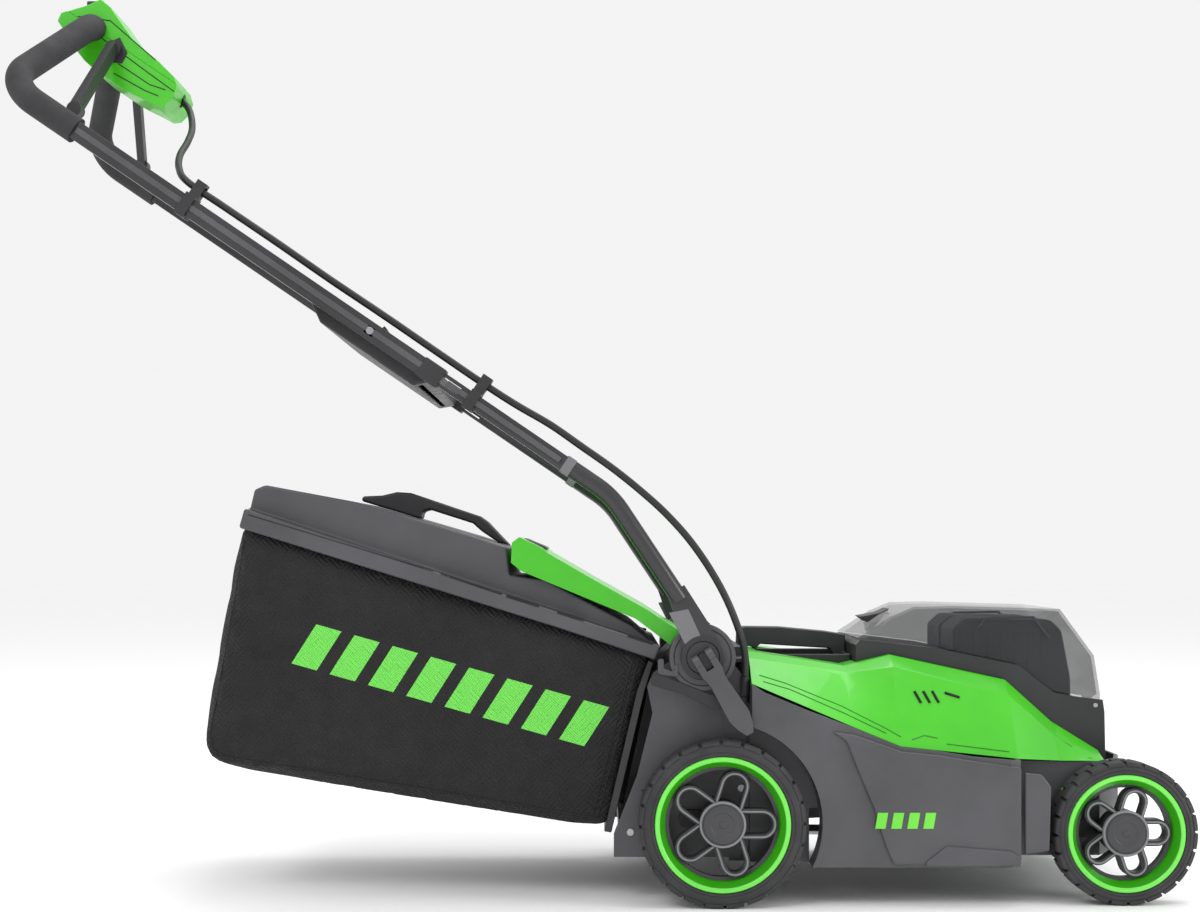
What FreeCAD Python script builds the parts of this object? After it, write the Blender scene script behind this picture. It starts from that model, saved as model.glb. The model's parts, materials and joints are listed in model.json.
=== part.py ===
"""Battery push lawn mower: chassis, wheels, cutting blade, folding telescopic handle, grass bag.

Millimetres. +X is forward, +Y is the mower's left, +Z is up. The origin lies on the ground under the
middle of the whole machine. Every driving size is a cell of the sheet "Sizes".
"""
import FreeCAD, Part
import math
import os
import Sketcher

OUT = "parts"

SIZES = {
    "rear_axle_x": 130.0, "rear_wheel_radius": 89.0, "rear_wheel_width": 42.0, "rear_track": 200.0,
    "front_axle_x": 562.0, "front_wheel_radius": 77.0, "front_wheel_width": 40.0, "front_track": 182.0,
    "lug_depth": 2.5, "lug_count": 24.0, "petal_count": 5.0,
    "crank_arm": 35.0, "axle_radius": 6.0, "link_arm": 45.0, "link_pin_radius": 3.0,
    "running_gap": 0.05, "part_gap": 0.4,
    "deck_bottom": 42.0, "nose_bottom": 47.0, "skirt_half": 186.0, "deck_rear_half": 142.9, "wall": 4.0,
    "nose_half": 136.0, "arch_gap": 18.0,
    "blade_x": 325.0, "chamber_radius": 178.0, "chamber_roof": 100.0,
    "blade_radius": 172.0, "blade_width": 50.0, "blade_low": 52.0, "blade_thick": 4.0,
    "motor_radius": 50.0, "motor_tall": 62.0, "shaft_radius": 8.0, "bolt_radius": 5.0,
    "frame_low": 143.0, "frame_thick": 5.0, "ear_radius": 35.5, "ear_face": 171.5,
    "pivot_x": 110.0, "pivot_z": 265.0, "pivot_bolt_radius": 6.0,
    "plate_radius": 24.0, "plate_thick": 8.0, "cam_pin_out": 190.0, "cam_tilt": 31.6, "cam_reach": 84.0,
    "rail_y": 175.0, "rail_angle": 34.3, "bend_x": 12.0, "bend_z": 438.0, "knee_x": 86.0, "knee_z": 326.5,
    "outer_tube": 20.0, "tube_wall": 1.5, "slide_gap": 0.3, "outer_low": 220.0, "outer_high": 700.0,
    "inner_high": 400.0, "bent_tube_radius": 9.5,
    "loop_radius": 11.0, "foam_radius": 14.5, "grip_low": 692.0, "corner_along": 785.0,
    "bar_x": -579.0, "bar_z": 976.0, "box_half": 42.0, "shell_wall": 3.0,
    "bail_x": -555.0, "bail_z": 952.0, "bail_pin_radius": 4.0, "cord_radius": 4.0,
    "flap_x": 92.0, "flap_z": 282.0, "flap_half": 140.0, "flap_pin_radius": 3.0,
    "lid_x": 552.0, "lid_z": 207.0, "lid_half": 88.0, "lid_wall": 2.5, "lid_pin_radius": 2.5,
    "housing_half": 95.0, "chute_half": 94.0, "bag_half": 150.0, "bag_wall": 3.0, "rim_half": 156.0,
}


class Dim:
    """A size that carries both its number and the sheet expression that gives it."""

    def __init__(self, text, value):
        self.text = text
        self.value = float(value)

    def joined(self, sign, other, value):
        return Dim("({} {} {})".format(self.text, sign, as_dim(other).text), value)

    def __add__(self, other):
        return self.joined("+", other, self.value + float(other))

    def __sub__(self, other):
        return self.joined("-", other, self.value - float(other))

    def __mul__(self, other):
        return self.joined("*", other, self.value * float(other))

    def __truediv__(self, other):
        return self.joined("/", other, self.value / float(other))

    def __radd__(self, other):
        return as_dim(other) + self

    def __rsub__(self, other):
        return as_dim(other) - self

    def __rmul__(self, other):
        return as_dim(other) * self

    def __rtruediv__(self, other):
        return as_dim(other) / self

    def __neg__(self):
        return Dim("(-1 * {})".format(self.text), -self.value)

    def __float__(self):
        return self.value


def as_dim(number):
    if isinstance(number, Dim):
        return number
    return Dim(repr(float(number)), number)


def sine(angle):
    return Dim("sin({})".format(angle.text), math.sin(math.radians(angle.value)))


def cosine(angle):
    return Dim("cos({})".format(angle.text), math.cos(math.radians(angle.value)))


document = FreeCAD.newDocument("PushMower")
sheet = document.addObject("Spreadsheet::Sheet", "Sizes")
for row, (alias, value) in enumerate(SIZES.items(), start=1):
    sheet.set("A{}".format(row), alias.replace("_", " "))
    sheet.set("B{}".format(row), str(value))
    sheet.setAlias("B{}".format(row), alias)
document.recompute()


def size(alias):
    """The Dim of one cell of the sheet."""
    return Dim("Sizes." + alias, sheet.get(alias))


PARTS = {}


def keep(obj, node):
    """Name the finished sub-part; the name is also its file's name."""
    obj.Label = node
    PARTS[node] = obj
    return obj


def bind(obj, **values):
    """Bind properties to expressions; a double underscore stands for a dot."""
    for name, value in values.items():
        path = name.replace("__", ".")
        if isinstance(value, Dim):
            obj.setExpression(path, value.text)
        elif "." not in path:
            setattr(obj, path, value)
        else:
            obj.setExpression(path, as_dim(value).text)


def place(obj, x=0.0, y=0.0, z=0.0, axis=None, angle=0.0):
    """Give an object its place, with an optional turn about one axis."""
    if axis is not None:
        obj.Placement = FreeCAD.Placement(FreeCAD.Vector(), FreeCAD.Rotation(FreeCAD.Vector(*axis), float(angle)))
        if isinstance(angle, Dim):
            obj.setExpression("Placement.Rotation.Angle", angle.text)
    bind(obj, Placement__Base__x=x, Placement__Base__y=y, Placement__Base__z=z)
    return obj


# ---- sketches and PartDesign bodies ----------------------------------------------------------------

def outline(body, name, role, offset, points):
    """A closed sketch of straight edges on one of the body's origin planes, every corner bound."""
    sketch = body.newObject("Sketcher::SketchObject", name)
    plane = [item for item in body.Origin.OriginFeatures if item.Role == role][0]
    sketch.AttachmentSupport = [(plane, "")]
    sketch.MapMode = "FlatFace"
    bind(sketch, AttachmentOffset__Base__z=offset)
    corners = [FreeCAD.Vector(float(x), float(y), 0) for x, y in points]
    count = len(points)
    for index, corner in enumerate(corners):
        sketch.addGeometry(Part.LineSegment(corner, corners[(index + 1) % count]))
    for index in range(count):
        sketch.addConstraint(Sketcher.Constraint("Coincident", index, 2, (index + 1) % count, 1))
    for index, (x, y) in enumerate(points):
        for kind, value in (("DistanceX", x), ("DistanceY", y)):
            number = sketch.addConstraint(Sketcher.Constraint(kind, -1, 1, index, 1, float(value)))
            if isinstance(value, Dim):
                sketch.setExpression("Constraints[{}]".format(number), value.text)
    return sketch


def new_body(name):
    return document.addObject("PartDesign::Body", name)


def pad(body, name, role, points, low, high):
    """Pad a closed outline between two heights along the plane's normal."""
    offset = -as_dim(high) if role == "XZ_Plane" else as_dim(low)
    sketch = outline(body, name + "_sketch", role, offset, points)
    feature = body.newObject("PartDesign::Pad", name + "_pad")
    feature.Profile = sketch
    bind(feature, Length=as_dim(high) - low)
    return feature


def prism(name, role, points, low, high):
    """A body that is one padded outline."""
    body = new_body(name)
    pad(body, name, role, points, low, high)
    return body


def revolve(body, name, points):
    """Turn an outline of (radius, y) points about the body's Y axis."""
    sketch = outline(body, name + "_sketch", "XY_Plane", 0.0, points)
    feature = body.newObject("PartDesign::Revolution", name + "_turned")
    feature.Profile = sketch
    feature.ReferenceAxis = (sketch, ["V_Axis"])
    feature.Angle = 360.0
    return feature


def pattern(body, name, originals, count):
    """Repeat features round the body's Y axis."""
    axis = [item for item in body.Origin.OriginFeatures if item.Role == "Y_Axis"][0]
    feature = body.newObject("PartDesign::PolarPattern", name)
    feature.Originals = originals
    feature.Axis = (axis, [""])
    feature.Angle = 360.0
    bind(feature, Occurrences=count)
    body.Tip = feature
    return feature


# ---- Part primitives and booleans ------------------------------------------------------------------

def box(name, x_low, x_high, y_low, y_high, z_low, z_high):
    made = document.addObject("Part::Box", name)
    bind(made, Length=as_dim(x_high) - x_low, Width=as_dim(y_high) - y_low, Height=as_dim(z_high) - z_low)
    return place(made, x_low, y_low, z_low)


def cylinder_y(name, x, y_low, y_high, z, radius):
    """A cylinder along Y."""
    made = document.addObject("Part::Cylinder", name)
    bind(made, Radius=radius, Height=as_dim(y_high) - y_low)
    return place(made, x, y_low, z, (1, 0, 0), -90.0)


def cylinder_z(name, x, y, z_low, z_high, radius):
    """A cylinder along Z."""
    made = document.addObject("Part::Cylinder", name)
    bind(made, Radius=radius, Height=as_dim(z_high) - z_low)
    return place(made, x, y, z_low)


def cylinder_x(name, x_low, x_high, y, z, radius):
    """A cylinder along X."""
    made = document.addObject("Part::Cylinder", name)
    bind(made, Radius=radius, Height=as_dim(x_high) - x_low)
    return place(made, x_low, y, z, (0, 1, 0), 90.0)


def fuse(name, *shapes):
    made = document.addObject("Part::MultiFuse", name)
    made.Shapes = list(shapes)
    return made


def common(name, *shapes):
    made = document.addObject("Part::MultiCommon", name)
    made.Shapes = list(shapes)
    return made


def cut(name, base, *tools):
    made = document.addObject("Part::Cut", name)
    made.Base = base
    made.Tool = tools[0] if len(tools) == 1 else fuse(name + "_tools", *tools)
    return made


def group(name, solids):
    """Separate like solids that share one node."""
    made = document.addObject("Part::Compound", name)
    made.Links = list(solids)
    return made


def both_sides():
    """The two hands of the machine: name, and -1 for the right side, +1 for the left."""
    return (("right", -1.0), ("left", 1.0))


def span(side, inner, outer):
    """Low and high Y of a stretch that lies between two distances from the middle."""
    if side < 0:
        return -as_dim(outer), -as_dim(inner)
    return as_dim(inner), as_dim(outer)


# ---- the handle's own direction --------------------------------------------------------------------

RAIL_SINE = sine(size("rail_angle"))
RAIL_COSINE = cosine(size("rail_angle"))


def rail(along, above=0.0):
    """X and Z of a point a distance up the rails from the bend, and above their centre line."""
    x = size("bend_x") - RAIL_COSINE * along + RAIL_SINE * above
    z = size("bend_z") + RAIL_SINE * along + RAIL_COSINE * above
    return x, z


def rail_box(name, low, high, y_low, y_high, under, over):
    """A box that lies along the rails."""
    made = document.addObject("Part::Box", name)
    bind(made, Length=as_dim(high) - low, Width=as_dim(y_high) - y_low, Height=as_dim(over) - under)
    x, z = rail(as_dim(high), as_dim(under))
    return place(made, x, y_low, z, (0, 1, 0), size("rail_angle"))


# ---- swept tubes -----------------------------------------------------------------------------------

def rounded_path(points, radii):
    """Straight runs joined by tangent arcs, one radius for each inner point."""
    spots = [FreeCAD.Vector(*[float(value) for value in point]) for point in points]
    edges = []
    start = spots[0]
    for index in range(1, len(spots) - 1):
        here = spots[index]
        back = (spots[index - 1] - here).normalize()
        ahead = (spots[index + 1] - here).normalize()
        half = back.getAngle(ahead) / 2.0
        reach = radii[index - 1] / math.tan(half)
        first = here + back * reach
        last = here + ahead * reach
        bisector = (back + ahead).normalize()
        middle = here + bisector * (radii[index - 1] / math.sin(half) - radii[index - 1])
        if (first - start).Length > 1e-6:
            edges.append(Part.LineSegment(start, first).toShape())
        edges.append(Part.Arc(first, middle, last).toShape())
        start = last
    edges.append(Part.LineSegment(start, spots[-1]).toShape())
    return Part.Wire(edges)


def tube_shape(points, radii, outer, inner=0.0):
    """A round tube along a rounded path."""
    path = rounded_path(points, radii)
    direction = FreeCAD.Vector(*[float(v) for v in points[1]]) - FreeCAD.Vector(*[float(v) for v in points[0]])
    start = FreeCAD.Vector(*[float(v) for v in points[0]])
    solids = []
    for radius in (outer, inner):
        if radius:
            ring = Part.Wire([Part.Circle(start, direction, float(radius)).toShape()])
            solids.append(path.makePipeShell([ring], True, True))
    if len(solids) == 2:
        return solids[0].cut(solids[1])
    return solids[0]


def feature(name, shape):
    made = document.addObject("Part::Feature", name)
    made.Shape = shape
    return made


def cord_radii(points):
    """The largest arcs that a cord's runs allow."""
    spots = [FreeCAD.Vector(*point) for point in points]
    radii = []
    for index in range(1, len(spots) - 1):
        back = spots[index - 1] - spots[index]
        ahead = spots[index + 1] - spots[index]
        half_turn = (math.pi - back.getAngle(ahead)) / 2.0
        radii.append(0.45 * min(back.Length, ahead.Length) / math.tan(half_turn))
    return radii


# ---- wheels ----------------------------------------------------------------------------------------

def wheel(node, axle_x, radius, width, track, rim, side):
    """Lugged tyre, coloured rim ring and petal hub; its outer face is at local y 0."""
    turn = 0.0 if side < 0 else 180.0
    spot = dict(x=axle_x, y=track * side, z=radius, axis=(0, 0, 1), angle=turn)
    tread = radius - size("lug_depth")
    tyre = new_body(node + "_tyre")
    revolve(tyre, node + "_carcass", [
        (rim, as_dim(3.0)), (rim + 4.0, as_dim(0.0)), (tread - 5.0, as_dim(1.0)), (tread, as_dim(6.0)),
        (tread, width - 6.0), (tread - 5.0, width - 1.0), (rim + 4.0, width), (rim, width - 3.0)])
    pitch = 360.0 / size("lug_count")
    lugs = []
    for name, low, high, turned in (("outer", 2.0, width * 0.5 - 1.0, 0.0), ("inner", width * 0.5 + 1.0, width - 2.0, 0.5)):
        corners = []
        for share, reach in ((0.0, tread - 2.0), (0.62, tread - 2.0), (0.56, radius), (0.06, radius)):
            angle = pitch * (share + turned)
            corners.append((reach * cosine(angle), reach * sine(angle)))
        lugs.append(pad(tyre, node + "_lug_" + name, "XZ_Plane", corners, low, high))
    pattern(tyre, node + "_tread", lugs, size("lug_count"))
    place(keep(tyre, node + "_tyre"), **spot)

    ring = new_body(node + "_rim")
    bore = rim - 11.4
    revolve(ring, node + "_rim_ring", [
        (bore, width - 6.0), (bore, as_dim(9.0)), (rim - 5.5, as_dim(2.0)), (rim - 3.0, as_dim(0.5)),
        (rim - 0.6, as_dim(0.5)), (rim, as_dim(3.0)), (rim, width - 3.0), (rim - 4.0, width - 3.0)])
    place(keep(ring, node + "_rim"), **spot)

    hub = new_body(node + "_hub")
    hole = size("axle_radius") + size("running_gap")
    revolve(hub, node + "_barrel", [
        (hole, width - 1.5), (hole, as_dim(6.0)), (as_dim(0.0), as_dim(6.0)), (as_dim(0.0), as_dim(2.2)),
        (as_dim(3.0), as_dim(2.2)), (as_dim(4.0), as_dim(3.2)), (as_dim(12.0), as_dim(3.2)),
        (as_dim(13.0), as_dim(2.4)), (as_dim(20.0), as_dim(2.4)), (as_dim(21.0), as_dim(4.0)),
        (as_dim(24.0), as_dim(4.5)), (as_dim(24.0), width - 8.0), (as_dim(16.0), width - 1.5)])
    revolve(hub, node + "_seat", [
        (bore - 4.0, as_dim(16.0)), (bore, as_dim(15.0)), (bore, width - 12.0), (bore - 3.0, width - 12.0)])
    tip = bore - 4.0
    half = as_dim(14.5) * (rim / 72.2)
    arch = tip - half
    leg = as_dim(2.7)
    wall = []
    for sign, offset in ((1.0, half), (-1.0, half - leg)):
        steps = range(0, 9) if sign > 0 else range(8, -1, -1)
        wall.append((as_dim(20.0), offset * -1.0) if sign > 0 else (as_dim(20.0), offset))
        for step in steps:
            angle = Dim(repr(-90.0 + 22.5 * step), -90.0 + 22.5 * step)
            wall.append((arch + offset * cosine(angle), offset * sine(angle)))
        wall.append((as_dim(20.0), offset) if sign > 0 else (as_dim(20.0), offset * -1.0))
    petal = pad(hub, node + "_petal", "XZ_Plane", wall, 8.0, width - 14.0)
    bridge = pad(hub, node + "_bridge", "XZ_Plane", [
        (tip - 3.0, as_dim(-6.0)), (bore - 1.0, as_dim(-7.0)), (bore - 1.0, as_dim(7.0)), (tip - 3.0, as_dim(6.0))],
        16.0, width - 14.0)
    pattern(hub, node + "_petals", [petal, bridge], size("petal_count"))
    place(keep(hub, node + "_hub"), **spot)


def wheels():
    for name, side in both_sides():
        wheel("rear_wheel_" + name, size("rear_axle_x"), size("rear_wheel_radius"), size("rear_wheel_width"),
              size("rear_track"), as_dim(72.2), side)
        wheel("front_wheel_" + name, size("front_axle_x"), size("front_wheel_radius"), size("front_wheel_width"),
              size("front_track"), as_dim(63.1), side)


def stadium(name, x, z, x_end, z_end, radius, y_low, y_high):
    """A flat link with round ends, from one centre to another in an XZ plane."""
    run = math.hypot(float(x_end) - float(x), float(z_end) - float(z))
    angle = math.degrees(math.atan2(float(x_end) - float(x), float(z_end) - float(z)))
    bar = document.addObject("Part::Box", name + "_bar")
    bind(bar, Length=radius * 2.0, Width=as_dim(y_high) - y_low, Height=as_dim(run))
    turned = math.radians(angle)
    place(bar, x - float(radius) * math.cos(turned), y_low, z + float(radius) * math.sin(turned), (0, 1, 0), angle)
    first = cylinder_y(name + "_near", x, y_low, y_high, z, radius)
    last = cylinder_y(name + "_far", x_end, y_low, y_high, z_end, radius)
    return fuse(name, bar, first, last)


def cranked_axle(node, axle_x, axle_z, arm_low, arm_high, stub_end):
    """A bar across the deck with a crank and a wheel stub at each end, and one arm for the link rod."""
    bar_x = axle_x - size("crank_arm")
    radius = size("axle_radius")
    pieces = [cylinder_y(node + "_bar", bar_x, -as_dim(arm_high), arm_high, axle_z, radius)]
    for name, side in both_sides():
        low, high = span(side, arm_low, arm_high)
        pieces.append(stadium(node + "_crank_" + name, bar_x, axle_z, axle_x, axle_z, as_dim(10.0), low, high))
        low, high = span(side, as_dim(arm_low) + 1.0, stub_end)
        pieces.append(cylinder_y(node + "_stub_" + name, axle_x, low, high, axle_z, radius))
    top = axle_z + size("link_arm")
    pieces.append(stadium(node + "_link_arm", bar_x, axle_z, bar_x, top, as_dim(8.0), as_dim(97.0), as_dim(101.5)))
    pieces.append(cylinder_y(node + "_link_pin", bar_x, 101.0, 108.0, top, size("link_pin_radius")))
    keep(fuse(node, *pieces), node)


def height_gear():
    """Two cranked axles, the rod that joins them and the lever that sets the cutting height."""
    cranked_axle("rear_axle", size("rear_axle_x"), size("rear_wheel_radius"), 149.0, 156.0, size("rear_track") - 6.5)
    cranked_axle("front_axle", size("front_axle_x"), size("front_wheel_radius"), 137.0, 141.2,
                 size("front_track") - 6.5)
    rear_x = size("rear_axle_x") - size("crank_arm")
    front_x = size("front_axle_x") - size("crank_arm")
    rear_z = size("rear_wheel_radius") + size("link_arm")
    front_z = size("front_wheel_radius") + size("link_arm")
    blank = stadium("link_blank", rear_x, rear_z, front_x, front_z, as_dim(6.0), as_dim(102.0), as_dim(106.0))
    hole = size("link_pin_radius") + size("running_gap")
    keep(cut("link_rod", blank, cylinder_y("link_bore_rear", rear_x, 100.0, 108.5, rear_z, hole),
             cylinder_y("link_bore_front", front_x, 100.0, 108.5, front_z, hole)), "link_rod")
    top_x = rear_x - 30.0
    top_z = size("rear_wheel_radius") + 114.0
    arm = stadium("lever_arm", rear_x - 5.0, size("rear_wheel_radius") + 14.0, top_x, top_z, as_dim(6.0),
                  as_dim(150.6), as_dim(156.4))
    knob = cylinder_y("lever_knob", top_x, 150.6, 172.0, top_z, 11.0)
    keep(cut("height_lever", fuse("lever_whole", arm, knob), cylinder_y("lever_seat", rear_x, 149.0, 157.0,
             size("rear_wheel_radius"), 10.0)), "height_lever")


# ---- chassis ---------------------------------------------------------------------------------------

SKIRT_TOP = ((140.0, 236.0), (163.0, 236.0), (177.0, 227.0), (221.0, 209.0), (270.0, 191.0), (321.0, 170.0),
             (360.0, 166.0), (397.0, 160.0), (449.0, 155.5), (463.0, 151.0), (600.0, 148.0))


def mirrored(points):
    """Complete a half outline of (x, y) points by its mirror image across the middle plane."""
    return list(points) + [(x, -as_dim(y)) for x, y in reversed(points)]


def plan(inset):
    """Plan of the chassis, drawn in by a distance."""
    skirt = size("skirt_half") - inset
    nose = size("nose_half") - inset
    return mirrored([
        (as_dim(140.0) + inset, size("deck_rear_half") - inset), (as_dim(162.0), size("deck_rear_half") - inset),
        (as_dim(162.0), skirt - 2.0), (as_dim(438.0), skirt), (as_dim(449.0) - inset, skirt - 6.0),
        (as_dim(452.0) - inset, nose), (as_dim(545.0) - inset, nose), (as_dim(575.0) - inset, nose - 36.0),
        (as_dim(587.0) - inset, nose - 76.0)])


def cavity_plan():
    """Plan of the space above the blade chamber."""
    inset = size("wall")
    rear = size("deck_rear_half") - inset
    skirt = size("skirt_half") - inset
    nose = size("nose_half") - inset
    return mirrored([
        (as_dim(150.0), rear), (as_dim(246.0), rear), (as_dim(246.0), skirt - 1.0), (as_dim(438.0), skirt - 1.0),
        (as_dim(445.0), skirt - 6.0), (as_dim(448.0), nose), (as_dim(541.0), nose), (as_dim(571.0), nose - 36.0),
        (as_dim(583.0), nose - 76.0)])


def chassis():
    whole = prism("deck_whole", "XY_Plane", plan(as_dim(0.0)), size("deck_bottom"), 240.0)
    above = prism("deck_above", "XZ_Plane", [(120.0, 300.0)] + [(x - 20.0 if x == 140.0 else x, z) for x, z in SKIRT_TOP]
                  + [(600.0, 300.0)], -220.0, 220.0)
    roof = size("chamber_roof")
    floor = roof + size("wall")
    chamber = cylinder_z("deck_chamber", size("blade_x"), 0.0, 20.0, roof, size("chamber_radius"))
    cavity = prism("deck_cavity", "XY_Plane", cavity_plan(), floor, 300.0)
    arches = []
    for name, side in both_sides():
        low, high = span(side, 148.5, 230.0)
        arches.append(cylinder_y("deck_arch_" + name, size("rear_axle_x"), low, high, size("rear_wheel_radius"),
                                 size("rear_wheel_radius") + size("arch_gap")))
    rear = box("deck_rear_cut", 120.0, 158.5, -150.0, 150.0, floor, 300.0)
    front = box("deck_front_cut", 511.0, 563.0, -100.0, 108.0, size("nose_bottom") + size("wall"), 300.0)
    hood = box("deck_hood_cut", 165.0, 236.0, -(size("chute_half") - 4.0), size("chute_half") - 4.0, roof - 1.0, 300.0)
    low_front = box("deck_nose_cut", 452.0, 620.0, -220.0, 220.0, 20.0, size("nose_bottom"))
    axle_x = size("front_axle_x") - size("crank_arm")
    bearing = cylinder_y("deck_bearing", axle_x, -160.0, 160.0, size("front_wheel_radius"),
                         size("axle_radius") + size("running_gap"))
    shaft = cylinder_z("deck_shaft_hole", size("blade_x"), 0.0, 90.0, 120.0, size("shaft_radius") + 2.0)
    shell = cut("deck_shell", whole, above, chamber, cavity, arches[0], arches[1], rear, front, hood, low_front,
                bearing, shaft)
    skirt_line = 148.5
    nose_line = 452.0
    nose = box("deck_nose_zone", nose_line, 620.0, -220.0, 220.0, 0.0, 320.0)
    keep(common("deck_nose", shell, nose), "deck_nose")
    middle = box("deck_middle_zone", 100.0, nose_line, -skirt_line, skirt_line, 0.0, 320.0)
    keep(common("deck_housing", shell, middle), "deck_housing")
    skirts = []
    for name, side in both_sides():
        low, high = span(side, skirt_line, 220.0)
        zone = box("deck_skirt_zone_" + name, 100.0, nose_line, low, high, 0.0, 320.0)
        skirts.append(common("deck_skirt_" + name, shell, zone))
    keep(group("deck_skirts", skirts), "deck_skirts")


def rear_frames():
    """The two upright side panels that carry the handle's ears and the rear axle."""
    low = size("frame_low")
    face = low + size("frame_thick")
    edge = [(15.0, 47.0), (150.0, 47.0), (161.5, 60.0), (161.5, 236.0), (140.0, 262.0), (80.0, 262.0),
            (58.0, 247.0), (51.0, 232.0), (57.0, 203.0), (40.0, 135.0), (15.0, 72.0)]
    for name, side in both_sides():
        node = "rear_frame_" + name
        y_low, y_high = span(side, low, face)
        panel = prism(node + "_panel", "XZ_Plane", edge, y_low, y_high)
        y_low, y_high = span(side, low, size("ear_face"))
        ear = cylinder_y(node + "_ear", size("pivot_x"), y_low, y_high, size("pivot_z"), size("ear_radius"))
        y_low, y_high = span(side, low - 5.0, size("ear_face") + 5.0)
        bolt = cylinder_y(node + "_bolt_hole", size("pivot_x"), y_low, y_high, size("pivot_z"),
                          size("pivot_bolt_radius"))
        axle = cylinder_y(node + "_axle_hole", size("rear_axle_x") - size("crank_arm"), y_low, y_high,
                          size("rear_wheel_radius"), size("axle_radius") + size("running_gap"))
        keep(cut(node, fuse(node + "_whole", panel, ear), bolt, axle), node)


def cover_loft(name, inset, drop):
    """The sloping body of the green cover, drawn in by an inset and extended down by a drop."""
    body = new_body(name)
    sections = []
    for number, (x, wide, low, shoulder, crease, top_half, top) in enumerate((
            (163.0, 166.0, 236.2, 128.0, 262.0, 110.0, 268.0),
            (270.0, 180.0, 191.2, 128.0, 246.0, 112.0, 252.0),
            (321.0, 180.0, 170.2, 130.0, 252.0, 106.0, 264.0),
            (449.0, 168.0, 155.7, 124.0, 220.0, 104.0, 236.0),
            (500.0, 140.0, 150.6, 120.0, 176.0, 104.0, 190.0),
            (552.0, 134.0, 149.4, 116.0, 154.0, 104.0, 158.0))):
        section = mirrored([(as_dim(wide) - inset, as_dim(low) - drop), (as_dim(shoulder) - inset, as_dim(crease) - inset),
                            (as_dim(top_half) - inset, as_dim(top) - inset)])
        flipped = [(y, z) for y, z in section]
        half = len(flipped) // 2
        right = [(-as_dim(y), z) for y, z in reversed(flipped[:half])]
        sections.append(outline(body, "{}_section_{}".format(name, number), "YZ_Plane", as_dim(x),
                                flipped[:half] + right))
    loft = body.newObject("PartDesign::AdditiveLoft", name + "_loft")
    loft.Profile = sections[0]
    loft.Sections = sections[1:]
    loft.Ruled = True
    return body


def top_cover():
    outer = cover_loft("cover_outer", as_dim(0.0), as_dim(0.0))
    inner = cover_loft("cover_inner", as_dim(3.0), as_dim(8.0))
    half = size("housing_half") + size("part_gap")
    well = box("cover_well", 284.5, 640.0, -half, half, 90.0, 340.0)
    recess = box("cover_recess", 177.6, 284.5, -60.4, 60.4, 220.0, 300.0)
    keep(cut("top_cover", outer, inner, well, recess), "top_cover")


def battery_housing():
    half = size("housing_half")
    edge = [(285.0, 104.5), (285.0, 274.0), (290.0, 280.0), (383.0, 269.0), (467.0, 251.5), (506.0, 221.0),
            (534.0, 216.0), (560.0, 213.0), (562.0, 200.0), (564.0, 104.5)]
    whole = prism("housing_whole", "XZ_Plane", edge, -half, half)
    rear = box("housing_rear_room", 289.0, 385.0, -(half - 4.0), half - 4.0, 90.0, 262.0)
    bay = box("housing_bay", 390.0, 548.0, -(half - 6.5), half - 6.5, 114.0, 400.0)
    slot = box("housing_hinge_room", 536.0, 640.0, -(half - 6.5), half - 6.5, 190.0, 400.0)
    under = box("housing_under", 389.0, 560.0, -(half - 4.0), half - 4.0, 90.0, 108.0)
    axle = box("housing_axle_room", 505.0, 566.0, -half - 1.0, half + 1.0, 90.0, 110.0)
    pin = cylinder_y("housing_pin_hole", size("lid_x"), -half - 5.0, half + 5.0, size("lid_z"), size("lid_pin_radius"))
    motor = cylinder_z("housing_motor_room", size("blade_x"), 0.0, 90.0, 172.0, size("motor_radius") + 2.0)
    keep(cut("battery_housing", whole, rear, bay, slot, under, axle, pin, motor), "battery_housing")


def battery_packs():
    packs = []
    for name, side in both_sides():
        low, high = span(side, 4.0, 82.0)
        core = prism("pack_core_" + name, "XZ_Plane", [
            (396.0, 114.5), (528.0, 114.5), (528.0, 236.0), (518.0, 290.0), (505.0, 302.0), (410.0, 304.0),
            (396.0, 292.0)], low, high)
        packs.append(core)
    keep(group("battery_packs", packs), "battery_packs")


def clear_lid():
    half = size("lid_half")
    edge = [(288.0, 281.5), (326.0, 306.0), (351.0, 316.5), (392.0, 317.5), (514.0, 314.0), (530.0, 292.0),
            (552.0, 262.0), (559.0, 219.0), (558.5, 205.0), (552.0, 200.5), (545.0, 205.0), (538.0, 217.5),
            (506.5, 222.0), (467.5, 252.2), (383.0, 270.0), (292.0, 280.8)]
    room = [(294.0, 279.0), (327.0, 303.0), (352.0, 313.6), (392.0, 314.8), (512.5, 311.2), (527.7, 290.5),
            (549.3, 261.0), (555.8, 219.0), (549.0, 213.5), (538.0, 213.0), (506.0, 205.0), (383.0, 255.0)]
    whole = prism("lid_whole", "XZ_Plane", edge, -half, half)
    thin = half - size("lid_wall")
    inside = prism("lid_room", "XZ_Plane", room, -thin, thin)
    bore = cylinder_y("lid_bore", size("lid_x"), -half - 1.0, half + 1.0, size("lid_z"),
                      size("lid_pin_radius") + size("running_gap"))
    keep(cut("battery_lid", whole, inside, bore), "battery_lid")
    keep(prism("lid_latch", "XZ_Plane", [(300.0, 303.0), (309.0, 304.5), (324.0, 307.5), (334.0, 312.5),
               (332.0, 309.8), (322.0, 305.6), (309.0, 296.4), (306.0, 299.0)], -22.0, 22.0), "lid_latch")


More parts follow.
